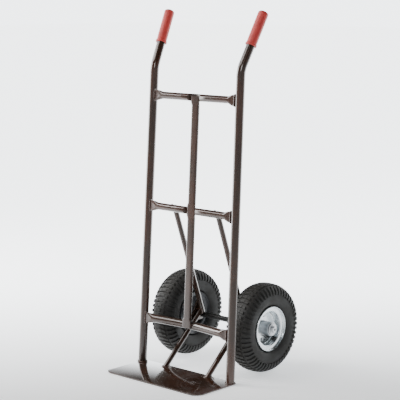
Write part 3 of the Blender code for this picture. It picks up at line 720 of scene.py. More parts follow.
@dataclass
class Crossbar:
    """A tube between the rails, pressed flat at both ends."""

    name: str
    up: float
    diameter: float
    bowed: bool
    rails: Rails
    paddle_height: float = 0.031
    paddle_thickness: float = 0.005
    paddle_forward: float = 0.0065
    paddle_length: float = 0.006
    flare_length: float = 0.024
    seat_half: float = 0.0158
    seat_ramp: float = 0.009
    seat_back: float = 0.0023

    def half_length(self) -> float:
        """Half the bar's length, where its ends meet the rails."""
        back = self.paddle_forward - self.paddle_thickness / 2
        reach = math.sqrt((self.rails.diameter / 2) ** 2 - back**2)
        return self.rails.half_spacing(self.up + self.paddle_height / 2) - reach - GAP

    def stations(self) -> list[float]:
        """Places along the bar, closer together where its section changes."""
        end = self.half_length()
        flat = end - self.paddle_length
        round_start = flat - self.flare_length
        places = [end, flat] + [flat - self.flare_length * i / 10 for i in range(1, 11)]
        if self.bowed:
            places += [round_start * i / 14 for i in range(13, 0, -1)]
        else:
            ramp = [self.seat_half + self.seat_ramp * i / 6 for i in range(6, -1, -1)]
            places += [round_start * 0.7, round_start * 0.4] + ramp
        return places + [0.0] + [-p for p in reversed(places)]

    def section(self, place: float) -> Ring:
        """The bar's outline at a place along it."""
        radius, end = self.diameter / 2, self.half_length()
        flat_start = end - self.paddle_length
        t = min(max((abs(place) - flat_start + self.flare_length) / self.flare_length, 0.0), 1.0)
        flat = t * t * (3 - 2 * t)
        s = min(max((self.seat_half + self.seat_ramp - abs(place)) / self.seat_ramp, 0.0), 1.0)
        pressed = 0.0 if self.bowed else s * s * (3 - 2 * s)
        bow = self.seat_back + radius if self.bowed else 0.0
        share = 1 - (place / end) ** 2
        centre = bow * share * share - self.paddle_forward * flat
        half_y = radius + (self.paddle_thickness / 2 - radius) * flat
        half_z = radius + (self.paddle_height / 2 - radius) * flat
        floor = -radius + (self.seat_back + radius) * pressed
        ring = []
        for y, z in superellipse(half_y, half_z, 2 + 3 * flat, 40):
            back = max(centre + y, floor) if pressed > 0 else centre + y
            ring.append(tuple(on_frame(place, back, self.up + z)))
        return ring

    def build(self) -> None:
        """Makes the bar."""
        bar = skin(self.name + "_tube", [self.section(place) for place in self.stations()])
        finish_mesh(bar, 50.0)
        MAKER.hand_over(bar, PAINT, "frame", [self.name])


@dataclass
class Upright:
    """The flat tube down the middle, pressed thinner over the crossbars."""

    crossings: tuple[float, float, float] = (0.139, 0.473, 0.796)
    width: float = 0.025
    thickness: float = 0.010
    front: float = -0.003
    pressed_width: float = 0.031
    pressed_thickness: float = 0.005
    pressed_half: float = 0.012
    ramp: float = 0.012
    past_top: float = 0.0045
    past_low: float = 0.005

    def pressed(self, up: float) -> float:
        """How far the tube is pressed at a height, from 0 to 1."""
        near = min(abs(up - crossing) for crossing in self.crossings)
        t = min(max((self.pressed_half + self.ramp - near) / self.ramp, 0.0), 1.0)
        return t * t * (3 - 2 * t)

    def stations(self) -> list[float]:
        """Heights of the sections, from the lower end to the upper end."""
        low, middle, top = self.crossings
        ups = [low - self.past_low]
        for centre in (low, middle, top):
            ups += [centre - self.pressed_half - self.ramp * (1 - i / 6) for i in range(7) if centre > low]
            if centre < top:
                ups += [centre + self.pressed_half + self.ramp * i / 6 for i in range(7)]
        return ups + [top + self.past_top]

    def section(self, up: float) -> Ring:
        """The tube's outline at a height."""
        share = self.pressed(up)
        half_x = (self.width + (self.pressed_width - self.width) * share) / 2
        half_y = (self.thickness + (self.pressed_thickness - self.thickness) * share) / 2
        outline = superellipse(half_x, half_y, 5, 48)
        return [tuple(on_frame(x, self.front + half_y + y, up)) for x, y in outline]

    def build(self) -> None:
        """Makes the tube."""
        tube = skin("centre_upright_tube", [self.section(up) for up in self.stations()])
        finish_mesh(tube, 50.0)
        MAKER.hand_over(tube, PAINT, "frame", ["centre_upright"])


@dataclass
class ToePlate:
    """The plate under the load, its corners round and its edges eased."""

    width: float = 0.368
    reach: float = 0.150
    heel: float = 0.018
    thickness: float = 0.004
    front_corner: float = 0.030
    heel_corner: float = 0.008
    ease: float = 0.0007

    def build(self) -> None:
        """Makes the plate."""
        depth = self.reach + self.heel
        start_clean()
        centre = (0.0, FOOT_Y + self.heel - depth / 2, self.thickness / 2)
        bpy.ops.mesh.primitive_cube_add(size=1.0, location=centre, scale=(self.width, depth, self.thickness))
        plate = bpy.context.active_object
        plate.name = plate.data.name = "toe_plate_sheet"
        bpy.ops.object.transform_apply(location=True, rotation=True, scale=True)
        for front, corner in ((True, self.front_corner), (False, self.heel_corner)):
            self.pick_corners(plate, centre[1], front)
            bpy.ops.mesh.bevel(offset=corner, segments=14, affect="EDGES")
        self.pick_rims(plate)
        bpy.ops.mesh.bevel(offset=self.ease, segments=3, affect="EDGES")
        finish_mesh(plate, 40.0)
        MAKER.hand_over(plate, PLATE_PAINT, "frame", ["toe_plate"])

    @staticmethod
    def pick_corners(plate: bpy.types.Object, middle: float, front: bool) -> None:
        """Selects the upright edges of the front or the heel corners, in edit mode."""
        bpy.ops.object.mode_set(mode="EDIT")
        bpy.ops.mesh.select_mode(type="EDGE")
        bpy.ops.mesh.select_all(action="DESELECT")
        bpy.ops.object.mode_set(mode="OBJECT")
        widest = max(abs(v.co.x) for v in plate.data.vertices)
        for edge in plate.data.edges:
            a, b = (plate.data.vertices[i].co for i in edge.vertices)
            upright = abs(a.z - b.z) > 0.001 and abs(a.x) > widest - 1e-5
            edge.select = upright and (a.y < middle) == front
        bpy.ops.object.mode_set(mode="EDIT")

    @staticmethod
    def pick_rims(plate: bpy.types.Object) -> None:
        """Selects the edges round the top and the underside, in edit mode."""
        bpy.ops.mesh.select_all(action="DESELECT")
        bpy.ops.object.mode_set(mode="OBJECT")
        level = [face for face in plate.data.polygons if abs(face.normal.z) > 0.9]
        flat = {tuple(sorted(key)) for face in level for key in face.edge_keys}
        for edge in plate.data.edges:
            edge.select = tuple(sorted(edge.vertices)) in flat
        bpy.ops.object.mode_set(mode="EDIT")


@dataclass
class Struts:
    """The braces between the axle, the middle crossbar and the plate's heel, with their eye plates."""

    x: float = 0.083
    diameter: float = 0.016
    heel: float = 0.007
    meeting: float = 0.020
    crossbar_up: float = 0.473
    crossbar_radius: float = 0.0105
    axle_radius: float = 0.008
    plate_top: float = 0.004
    bracket_ease: float = 0.0006
    top_rise: float = 0.006

    def lines(self, side: Side) -> tuple[Vector, Vector, Vector, Vector]:
        """The upper strut's top, behind the crossbar that it touches, the axle, the heel and the way up."""
        x = side.value * self.x
        axle = Vector((x, AXLE_Y, AXLE_Z))
        heel = Vector((x, FOOT_Y + self.heel, self.plate_top + GAP))
        straight = on_frame(x, 0, self.crossbar_up) - axle
        apart = self.crossbar_radius + self.diameter / 2 + GAP
        lean = math.atan2(-straight.y, straight.z) - math.asin(apart / straight.length)
        upwards = Vector((0.0, -math.sin(lean), math.cos(lean)))
        return axle + upwards * ((straight.z + self.top_rise) / upwards.z), axle, heel, upwards

    def tube(self, name: str, start: Vector, end: Vector, planes: Sequence[Vector], node: str) -> None:
        """Makes a strut with each end laid on the plane through it."""
        along = (end - start).normalized()
        path = [start.lerp(end, i / 8) for i in range(9)]
        rings = tube_rings(path, self.diameter / 2, 32)
        rings[0] = lay_on_plane(rings[0], along, start, planes[0])
        rings[-1] = lay_on_plane(rings[-1], along, end, planes[1])
        strut = skin(name, rings)
        finish_mesh(strut)
        MAKER.hand_over(strut, PAINT, "frame", [node])

    def ends(self, side: Side) -> tuple[Vector, Vector, Vector, Vector, Vector]:
        """The ends of both struts and the normal of the plane that the lower one meets."""
        high, axle, heel, upwards = self.lines(side)
        low = axle + upwards * (self.axle_radius + GAP)
        meeting = axle + upwards * self.meeting
        along = (meeting - heel).normalized()
        facing = Vector((1, 0, 0)).cross(upwards).normalized()
        tip = meeting - along * ((self.diameter / 2 + GAP) / abs(along.dot(facing)))
        return low, high, heel, tip, facing

    def build(self) -> None:
        """Makes the struts and the eye plates of both sides."""
        for side in Side:
            low, high, heel, tip, facing = self.ends(side)
            upwards = (high - low).normalized()
            name = side.name_of("upper_strut")
            self.tube(name + "_tube", low, high, (upwards, Vector((0, 0, 1))), name)
            name = side.name_of("lower_strut")
            self.tube(name + "_tube", heel, tip, (Vector((0, 0, 1)), facing), name)
            self.build_bracket(side)

    def build_bracket(self, side: Side) -> None:
        """Eases the edges of a copy of the eye plate."""
        node = side.name_of("axle_bracket")
        start_clean()
        source = bpy.data.objects[node]
        plate = bpy.data.objects.new(node + "_plate", source.data.copy())
        bpy.context.scene.collection.objects.link(plate)
        bpy.context.view_layer.objects.active = plate
        plate.select_set(True)
        bpy.ops.object.mode_set(mode="EDIT")
        bpy.ops.mesh.select_all(action="SELECT")
        bpy.ops.mesh.remove_doubles(threshold=0.00001)
        bpy.ops.mesh.dissolve_limited(angle_limit=math.radians(2))
        bpy.ops.object.mode_set(mode="OBJECT")
        bevel = plate.modifiers.new("Eased", "BEVEL")
        bevel.width = self.bracket_ease
        bevel.segments = 2
        bevel.angle_limit = math.radians(50)
        bpy.ops.object.modifier_apply(modifier="Eased")
        finish_mesh(plate, 40.0)
        MAKER.hand_over(plate, PAINT, "frame", [node])


@dataclass
class Welds:
    """Rippled beads where the frame's pieces are joined."""

    rails: Rails
    bars: Sequence[Crossbar]
    struts: Struts
    size: float = 0.0019
    ripple: float = 0.16
    touch_radius: float = 0.0055

    def bead(self, path: list[Vector], loop: bool) -> None:
        """Makes one bead and keeps it selected for joining."""
        spacing = 0.0011
        fine: list[Vector] = []
        ends = path + [path[0]] if loop else path
        for a, b in zip(ends, ends[1:]):
            steps = max(1, round((b - a).length / spacing))
            fine += [a.lerp(b, i / steps) for i in range(steps)]
        if not loop:
            fine.append(path[-1])

        def radius(i: int) -> float:
            """The bead's radius, rippled along it and thin at open ends."""
            edge = 1.0 if loop else min(1.0, 0.35 + min(i, len(fine) - 1 - i) * 0.22)
            return self.size * edge * (1 + self.ripple * math.cos(i * 1.9) + 0.05 * math.sin(i * 0.37))

        obj = skin(f"bead_{len(self.made)}", tube_rings(fine, radius, 8, loop), loop)
        finish_mesh(obj, 60.0)
        self.made.append(obj)

    def build(self) -> None:
        """Makes every bead and joins them."""
        self.made: list[bpy.types.Object] = []
        for side in Side:
            self.rail_foot(side)
            self.strut_joints(side)
            for bar in self.bars:
                self.paddle(side, bar)
        for bar in self.bars:
            self.crossing(bar)
        start_clean()
        for obj in self.made:
            obj.select_set(True)
        bpy.context.view_layer.objects.active = self.made[0]
        bpy.ops.object.join()
        welds = bpy.context.active_object
        welds.name = welds.data.name = "frame_weld_beads"
        MAKER.hand_over(welds, WELD_PAINT, "frame")

    def rail_foot(self, side: Side) -> None:
        """A bead round a rail's foot on the plate."""
        foot = on_frame(side.value * self.rails.half_spacing(0), 0, self.rails.plate_top)
        radius = self.rails.diameter / 2 + self.size * 0.35
        ring = [
            foot + Vector((math.cos(a) * radius, math.sin(a) * radius, self.size * 0.35))
            for a in np.linspace(0, 2 * math.pi, 40, endpoint=False)
        ]
        self.bead(ring, True)

    def strut_joints(self, side: Side) -> None:
        """Beads round both ends of the lower strut and round the upper strut's touch on the crossbar."""
        low, high, heel, tip, facing = self.struts.ends(side)
        radius = self.struts.diameter / 2 + self.size * 0.25
        along = (tip - heel).normalized()
        for centre, normal in ((heel, Vector((0, 0, 1))), (tip, facing)):
            path = tube_rings([centre, centre + along * 0.001], radius, 32)[0]
            self.bead([Vector(p) for p in lay_on_plane(path, along, centre, normal)], True)
        upwards = (high - low).normalized()
        forward = Vector((0.0, -upwards.z, upwards.y))
        bar = on_frame(side.value * self.struts.x, 0, self.struts.crossbar_up)
        touch = bar - forward * (self.struts.crossbar_radius + GAP / 2)
        turns = np.linspace(0, 2 * math.pi, 28, endpoint=False)
        across = Vector((1, 0, 0))
        loop = [
            touch + (across * math.cos(t) + upwards * math.sin(t)) * self.touch_radius for t in turns
        ]
        self.bead(loop, True)

    def paddle(self, side: Side, bar: Crossbar) -> None:
        """A bead round a crossbar's flat end on the rail."""
        x = side.value * (bar.half_length() - 0.0006)
        outline = superellipse(bar.paddle_thickness / 2 + 0.0006, bar.paddle_height / 2 + 0.0006, 5, 48)
        path = [on_frame(x, y - bar.paddle_forward, bar.up + z) for y, z in outline]
        self.bead(path, True)

    def crossing(self, bar: Crossbar) -> None:
        """Beads on both sides of the upright where it lies on a crossbar."""
        for sign in (-1, 1):
            x = sign * (bar.seat_half - 0.0003)
            back = bar.seat_back - 0.0004
            low = -0.003 if bar.bowed else -0.0075
            high = 0.003 if bar.up > 0.7 else 0.0075
            path = [on_frame(x, back, bar.up + z) for z in np.linspace(low, high, 12)]
            self.bead(path, False)


# -------------------------------------------------------------------------------- axle and wheels


@dataclass
class Axle:
    """The rod through both wheels, with what sits still on it."""

    diameter: float = 0.016
    bracket_outer: float = 0.0953
    hub_inner: float = 0.111
    hub_end: float = 0.185
    washer_diameter: float = 0.034
    washer_thickness: float = 0.0025
    spacer_diameter: float = 0.023
    bearing_width: float = 0.011
    bearing_ring: float = 0.0024
    cap_diameter: float = 0.025
    cap_depth: float = 0.007
    cap_sheet: float = 0.001
    cap_hole: float = 0.006
    cap_grip: float = 0.004

    @staticmethod
    def turned(name: str, profile: Profile, sign: int, joined: bool, count: int = 48) -> bpy.types.Object:
        """Turns a profile whose heights run along X, away from the middle of the truck."""

        def place(radius: float, turn: float, height: float) -> Vector:
            """A place round the axle."""
            return Vector((sign * height, AXLE_Y + radius * math.cos(turn), AXLE_Z + radius * math.sin(turn)))

        obj = skin(name, turned_rings(profile, place, count), joined)
        finish_mesh(obj)
        return obj

    @staticmethod
    def ring(inner: float, outer: float, low: float, high: float, ease: float = 0.0005) -> Profile:
        """A ring's section with eased corners."""
        return rounded([(outer, high), (outer, low), (inner, low), (inner, high)], ease)

    def build(self) -> None:
        """Makes the rod and the fittings of both ends."""
        cap_start = self.hub_end + 2 * GAP + self.washer_thickness
        end = cap_start + self.cap_grip
        radius = self.diameter / 2
        profile = [(radius * 0.02, end), (radius - 0.001, end), (radius, end - 0.001)]
        profile += [(radius, -end + 0.001), (radius - 0.001, -end), (radius * 0.02, -end)]
        MAKER.hand_over(self.turned("axle_rod", profile, 1, False), BLACK_STEEL, "frame", ["axle"])
        bore = radius + GAP
        spacer = self.ring(bore, self.spacer_diameter / 2, self.bracket_outer + GAP, self.hub_inner - GAP)
        washer = self.ring(bore, self.washer_diameter / 2, self.hub_end + GAP, cap_start - GAP)
        outboard = self.bearing(bore, self.hub_end - self.bearing_width)
        for side in Side:
            parts = (
                ("axle_spacer", spacer, ZINC),
                ("axle_washer", washer, ZINC),
                ("inboard_bearing_inner_ring", self.bearing(bore, self.hub_inner), BEARING),
                ("outboard_bearing_inner_ring", outboard, BEARING),
                ("axle_cap", self.cap_profile(bore, cap_start), ZINC),
            )
            for node, profile, finish in parts:
                piece = self.turned(side.name_of(node + "_turned"), profile, side.value, True)
                MAKER.hand_over(piece, finish, "frame", [side.name_of(node)])

    def bearing(self, bore: float, low: float) -> Profile:
        """A bearing's inner ring."""
        return self.ring(bore, bore + self.bearing_ring, low, low + self.bearing_width)

    def cap_profile(self, bore: float, start: float) -> Profile:
        """A domed cap with a brim and a small hole in its end."""
        hole, brim = self.cap_hole / 2, self.cap_diameter / 2
        sheet, end = self.cap_sheet, start + self.cap_depth
        outside = [(hole, end), (bore, end), (bore + sheet, end - 0.0015), (bore + sheet, start + sheet)]
        outside += [(brim, start + sheet), (brim, start), (bore, start)]
        outside += [(bore, end - sheet), (hole, end - sheet)]
        return rounded(outside, 0.0006)


@dataclass
class Tyre:
    """A treaded pneumatic tyre: a carcass with lugs pushed out of it."""

    radius: float = 0.130
    width: float = 0.082
    lug_height: float = 0.0036
    pitches: int = 52
    lug_share: float = 0.60
    skew: float = 0.55
    widest_radius: float = 0.092
    squareness: float = 2.6
    tread_thickness: float = 0.009
    sidewall_thickness: float = 0.0055
    shoulder_radius: float = 0.0671
    bead_radius: float = 0.0515
    bead_half_width: float = 0.0252
    bead_thickness: float = 0.008
    bead_chamfer: float = 0.0025
    crown_steps: int = 22

    def skin_profile(self, half_width: float, top: float, low: float, foot: float, steps: int) -> Profile:
        """(radius, place across) of a skin, from one bead over the crown to the other."""
        up, down = top - self.widest_radius, self.widest_radius - low
        side = []
        for i in range(6):
            angle = math.pi / 2 * (1 - i / 6)
            place = foot + (half_width - foot) * math.cos(angle)
            side.append((self.widest_radius - down * math.sin(angle), place))
        crown = []
        for i in range(steps + 1):
            angle = math.pi * i / steps
            c, s = math.cos(angle), max(math.sin(angle), 0.0)
            across = math.copysign(abs(c) ** (2 / self.squareness), c) * half_width
            crown.append((self.widest_radius + up * s ** (2 / self.squareness), across))
        return side + crown + [(radius, -across) for radius, across in reversed(side)]

    def profile(self) -> Profile:
        """The whole section, as a loop."""
        half, foot = self.width / 2, self.bead_half_width
        crown = self.radius - self.lug_height
        outer = self.skin_profile(half - 0.0012, crown, self.shoulder_radius, foot, self.crown_steps)
        inner = self.skin_profile(
            half - self.sidewall_thickness,
            self.radius - self.tread_thickness,
            self.shoulder_radius - 0.0015,
            foot - self.bead_thickness,
            8,
        )
        chamfer = [(self.bead_radius + self.bead_chamfer, -foot)]
        chamfer.append((self.bead_radius, -foot + self.bead_chamfer))
        chamfer.append((self.bead_radius, -foot + self.bead_thickness))
        return outer + chamfer + inner[::-1] + [(radius, -across) for radius, across in reversed(chamfer)]

    def turn_of(self, slot: int, across: float) -> float:
        """The angle of a slot's edge, slanted away from the middle so that the lugs make a herringbone."""
        pitch = 2 * math.pi / self.pitches
        start = (slot // 2) * pitch + (slot % 2) * pitch * self.lug_share
        return start + self.skew * pitch * abs(across) / (self.width / 2)

    def build(self, side: Side) -> None:
        """Makes a tyre round its wheel's axis."""
        profile = self.profile()
        rings = []
        for radius, across in profile:
            ring = []
            for slot in range(2 * self.pitches):
                turn = self.turn_of(slot, across)
                ring.append(
                    (
                        side.value * (HALF_TRACK + across),
                        AXLE_Y + radius * math.sin(turn),
                        AXLE_Z - radius * math.cos(turn),
                    )
                )
            rings.append(ring)
        tyre = skin(side.name_of("tyre_treaded"), rings, True)
        finish_mesh(tyre, 30.0)
        self.raise_lugs(tyre, side)
        bpy.ops.object.shade_smooth_by_angle(angle=math.radians(28))
        MAKER.hand_over(tyre, TYRE, side.name_of("wheel"), [side.name_of("tyre"), side.name_of("inner_tube")])

    def column_of(self, across: float, radius: float) -> Optional[int]:
        """Which row of lugs a place on the carcass is in, or None on a groove or the sidewall."""
        reach = abs(across)
        if reach < 0.0068:
            return 0
        if 0.0098 < reach < 0.0225:
            return 1
        if 0.0255 < reach and radius > 0.1020:
            return 2
        return None

    def raise_lugs(self, tyre: bpy.types.Object, side: Side) -> None:
        """Pushes the lugs out of the carcass, row by row."""
        pitch = 2 * math.pi / self.pitches
        for column in range(3):
            bpy.ops.object.mode_set(mode="EDIT")
            bpy.ops.mesh.select_mode(type="FACE")
            bpy.ops.mesh.select_all(action="DESELECT")
            bpy.ops.object.mode_set(mode="OBJECT")
            for face in tyre.data.polygons:
                y, z = face.center.y - AXLE_Y, face.center.z - AXLE_Z
                across = side.value * face.center.x - HALF_TRACK
                radius = math.hypot(y, z)
                outward = (face.normal.y * y + face.normal.z * z) / radius
                if radius < 0.1 or outward < 0.05 or self.column_of(across, radius) != column:
                    continue
                turn = math.atan2(y, -z) - self.skew * pitch * abs(across) / (self.width / 2)
                phase = (turn / pitch) % 1.0
                face.select = phase < self.lug_share
            bpy.ops.object.mode_set(mode="EDIT")
            bpy.ops.mesh.inset(
                thickness=0.0007, depth=self.lug_height, use_individual=False, use_even_offset=True
            )
            bpy.ops.object.mode_set(mode="OBJECT")


@dataclass
class WheelCentre:
    """A rim of two bolted pressings on a hub tube with two bearings, and its valve."""

    sheet: float = 0.002
    rim_half_width: float = 0.0265
    lip_radius: float = 0.0656
    lip_curl: float = 0.0045
    barrel_radius: float = 0.0502
    corner: float = 0.005
    hub_bore: float = 0.035
    hub_wall: float = 0.0022
    hub_length: float = 0.074
    bearing_width: float = 0.011
    bearing_ring: float = 0.0024
    bolt_count: int = 4
    bolt_circle: float = 0.035
    bolt_head: float = 0.008
    bolt_head_height: float = 0.0035
    bolt_diameter: float = 0.005
    nut_height: float = 0.004
    valve_angle: float = math.radians(40)

    def turned(
        self, name: str, profile: Profile, side: Side, joined: bool = True, count: int = WHEEL_TURNS
    ) -> bpy.types.Object:
        """Turns a profile whose heights run outwards from the wheel's middle plane."""

        def place(radius: float, turn: float, height: float) -> Vector:
            """A place round the wheel's axis."""
            x = side.value * (HALF_TRACK + height)
            return Vector((x, AXLE_Y + radius * math.sin(turn), AXLE_Z - radius * math.cos(turn)))

        obj = skin(side.name_of(name), turned_rings(profile, place, count), joined)
        finish_mesh(obj)
        return obj

    def rim_line(self) -> Profile:
        """(radius, place across) along the middle of the pressed sheet, from the hub to the rolled lip."""
        flange = GAP / 2 + self.sheet / 2
        hub = self.hub_bore / 2 + 2 * GAP + self.hub_wall
        corner = self.corner
        line = [(hub, flange), (hub + 0.004, flange), (self.barrel_radius - corner - 0.002, flange)]
        for angle in np.linspace(0, math.pi / 2, 7):
            radius = self.barrel_radius - corner + corner * math.sin(angle)
            line.append((radius, flange + corner - corner * math.cos(angle)))
        bend = 0.0025
        for angle in np.linspace(0, math.pi / 2, 5):
            radius = self.barrel_radius + bend - bend * math.cos(angle)
            line.append((radius, self.rim_half_width - bend + bend * math.sin(angle)))
        centre_r = self.lip_radius - self.sheet / 2 - self.lip_curl
        centre_x = self.rim_half_width + self.lip_curl
        for angle in np.linspace(0, math.pi * 0.72, 9):
            radius = centre_r + self.lip_curl * math.sin(angle)
            line.append((radius, centre_x - self.lip_curl * math.cos(angle)))
        return line

    def walled(self, line: Profile) -> Profile:
        """A closed section round a sheet's middle line."""
        points = [Vector(p) for p in line]
        near, far = [], []
        for i, point in enumerate(points):
            along = (points[min(i + 1, len(points) - 1)] - points[max(i - 1, 0)]).normalized()
            across = Vector((-along.y, along.x)) * self.sheet / 2
            near.append(tuple(point + across))
            far.append(tuple(point - across))
        return near + far[::-1]

    def build(self, side: Side) -> None:
        """Makes everything of one wheel but its tyre."""
        body = side.name_of("wheel")
        # The inner pressing takes the near-black copy of the rim finish, which is painted shade on the rim's
        # inboard side.
        for half, out, finish in (("rim_outer_half", 1, RIM), ("rim_inner_half", -1, RIM_INSIDE_PAINTED_SHADE)):
            section = [(radius, out * across) for radius, across in self.walled(self.rim_line())]
            rim = self.turned(half + "_pressing", section, side)
            MAKER.hand_over(rim, finish, body, [side.name_of(half)])
        self.build_hub(side, body)
        self.build_bolts(side, body)
        for node, finish in (("valve_stem", BLACK_PLASTIC), ("valve_cap", BLACK_PLASTIC)):
            keep_node(side.name_of(node), finish)

    def build_hub(self, side: Side, body: str) -> None:
        """Makes the hub tube, the bearings' outer rings and a seal in each."""
        bore, half = self.hub_bore / 2 + GAP, self.hub_length / 2
        out = bore + self.hub_wall
        section = rounded([(out, half), (out, -half), (bore, -half), (bore, half)], 0.0007)
        hub = self.turned("hub_tube_turned", section, side, count=64)
        MAKER.hand_over(hub, ZINC, body, [side.name_of("hub_tube")])
        outer = self.hub_bore / 2
        for end, low in (("inboard", -half), ("outboard", half - self.bearing_width)):
            ring = rounded(
                [
                    (outer, low + self.bearing_width),
                    (outer, low),
                    (outer - self.bearing_ring, low),
                    (outer - self.bearing_ring, low + self.bearing_width),
                ],
                0.0004,
            )
            node = end + "_bearing_outer_ring"
            piece = self.turned(node + "_turned", ring, side, count=64)
            MAKER.hand_over(piece, BEARING, body, [side.name_of(node)])
            self.build_seal(end, low, side, body)

    def build_seal(self, end: str, low: float, side: Side, body: str) -> None:
        """Makes the black seals in both faces of a bearing."""
        outer = self.hub_bore / 2 - self.bearing_ring
        inner = 0.0083 + self.bearing_ring + 0.0002
        profile = [(outer, 0.0011), (outer, 0.0003), (inner, 0.0003), (inner, 0.0011)]
        profile.append(((inner + outer) / 2, 0.0014))
        for number, base in enumerate((low, low + self.bearing_width - 0.0018), start=1):
            section = rounded([(radius, base + height) for radius, height in profile], 0.0002)
            seal = self.turned(f"{end}_bearing_seal_{number}", section, side, count=48)
            MAKER.hand_over(seal, BLACK_PLASTIC, body)

    def build_bolts(self, side: Side, body: str) -> None:
        """Makes the bolts and nuts that hold the rim's halves together."""
        seat = GAP / 2 + self.sheet + GAP
        for number in range(self.bolt_count):
            angle = self.valve_angle + 2 * math.pi * (number + 0.5) / self.bolt_count
            y = AXLE_Y + self.bolt_circle * math.sin(angle)
            z = AXLE_Z - self.bolt_circle * math.cos(angle)
            bolt = self.hexagon(side, y, z, seat, self.bolt_head_height, f"rim_bolt_{number + 1}_head")
            self.add_shank(bolt, side, y, z, seat)
            MAKER.hand_over(bolt, ZINC, body, [side.name_of(f"rim_bolt_{number + 1}")])
            low = -seat - self.nut_height
            nut = self.hexagon(side, y, z, low, self.nut_height, f"rim_nut_{number + 1}_hex")
            MAKER.hand_over(nut, ZINC, body, [side.name_of(f"rim_nut_{number + 1}")])

    def hexagon(
        self, side: Side, y: float, z: float, low: float, height: float, name: str
    ) -> bpy.types.Object:
        """Makes a chamfered hexagonal head along X."""
        start_clean()
        centre = (side.value * (HALF_TRACK + low + height / 2), y, z)
        bpy.ops.mesh.primitive_cylinder_add(
            vertices=6,
            radius=self.bolt_head / math.sqrt(3),
            depth=height,
            location=centre,
            rotation=(0, math.radians(90), 0),
        )
        head = bpy.context.active_object
        head.name = head.data.name = side.name_of(name)
        bpy.ops.object.transform_apply(location=True, rotation=True, scale=True)
        bpy.ops.object.mode_set(mode="EDIT")
        bpy.ops.mesh.select_all(action="SELECT")
        bpy.ops.mesh.bevel(offset=0.0004, segments=2, affect="EDGES")
        finish_mesh(head, 30.0)
        return head

    def add_shank(self, bolt: bpy.types.Object, side: Side, y: float, z: float, seat: float) -> None:
        """Joins a threaded end to a bolt's head."""
        low, high = -seat - self.nut_height - 0.0015, seat + 0.0005
        radius = self.bolt_diameter / 2
        profile: Profile = [(radius * 0.1, low), (radius * 0.8, low)]
        steps = 18
        for i in range(steps):
            height = low + 0.0003 + (high - low) * i / steps
            profile.append((radius if i % 2 else radius * 0.9, height))
        profile += [(radius, high), (radius * 0.1, high)]

        def place(distance: float, turn: float, height: float) -> Vector:
            """A place round the bolt's own axis."""
            x = side.value * (HALF_TRACK + height)
            return Vector((x, y + distance * math.cos(turn), z + distance * math.sin(turn)))

        shank = skin("shank", turned_rings(profile, place, 16))
        finish_mesh(shank)
        bolt.select_set(True)
        bpy.context.view_layer.objects.active = bolt
        bpy.ops.object.join()


def keep_node(name: str, finish: "Paint | PlainRubber | PlatedMetal") -> None:
    """Gives a node that stays in view its finish."""
    node = bpy.data.objects[name]
    node.data.materials.clear()
    node.data.materials.append(finish.material(name))
    start_clean()
    bpy.context.view_layer.objects.active = node
    node.select_set(True)
    bpy.ops.object.shade_smooth_by_angle(angle=math.radians(40))
    LOG.info("%s keeps its shape", name)


# ------------------------------------------------------------------------------------- the studio


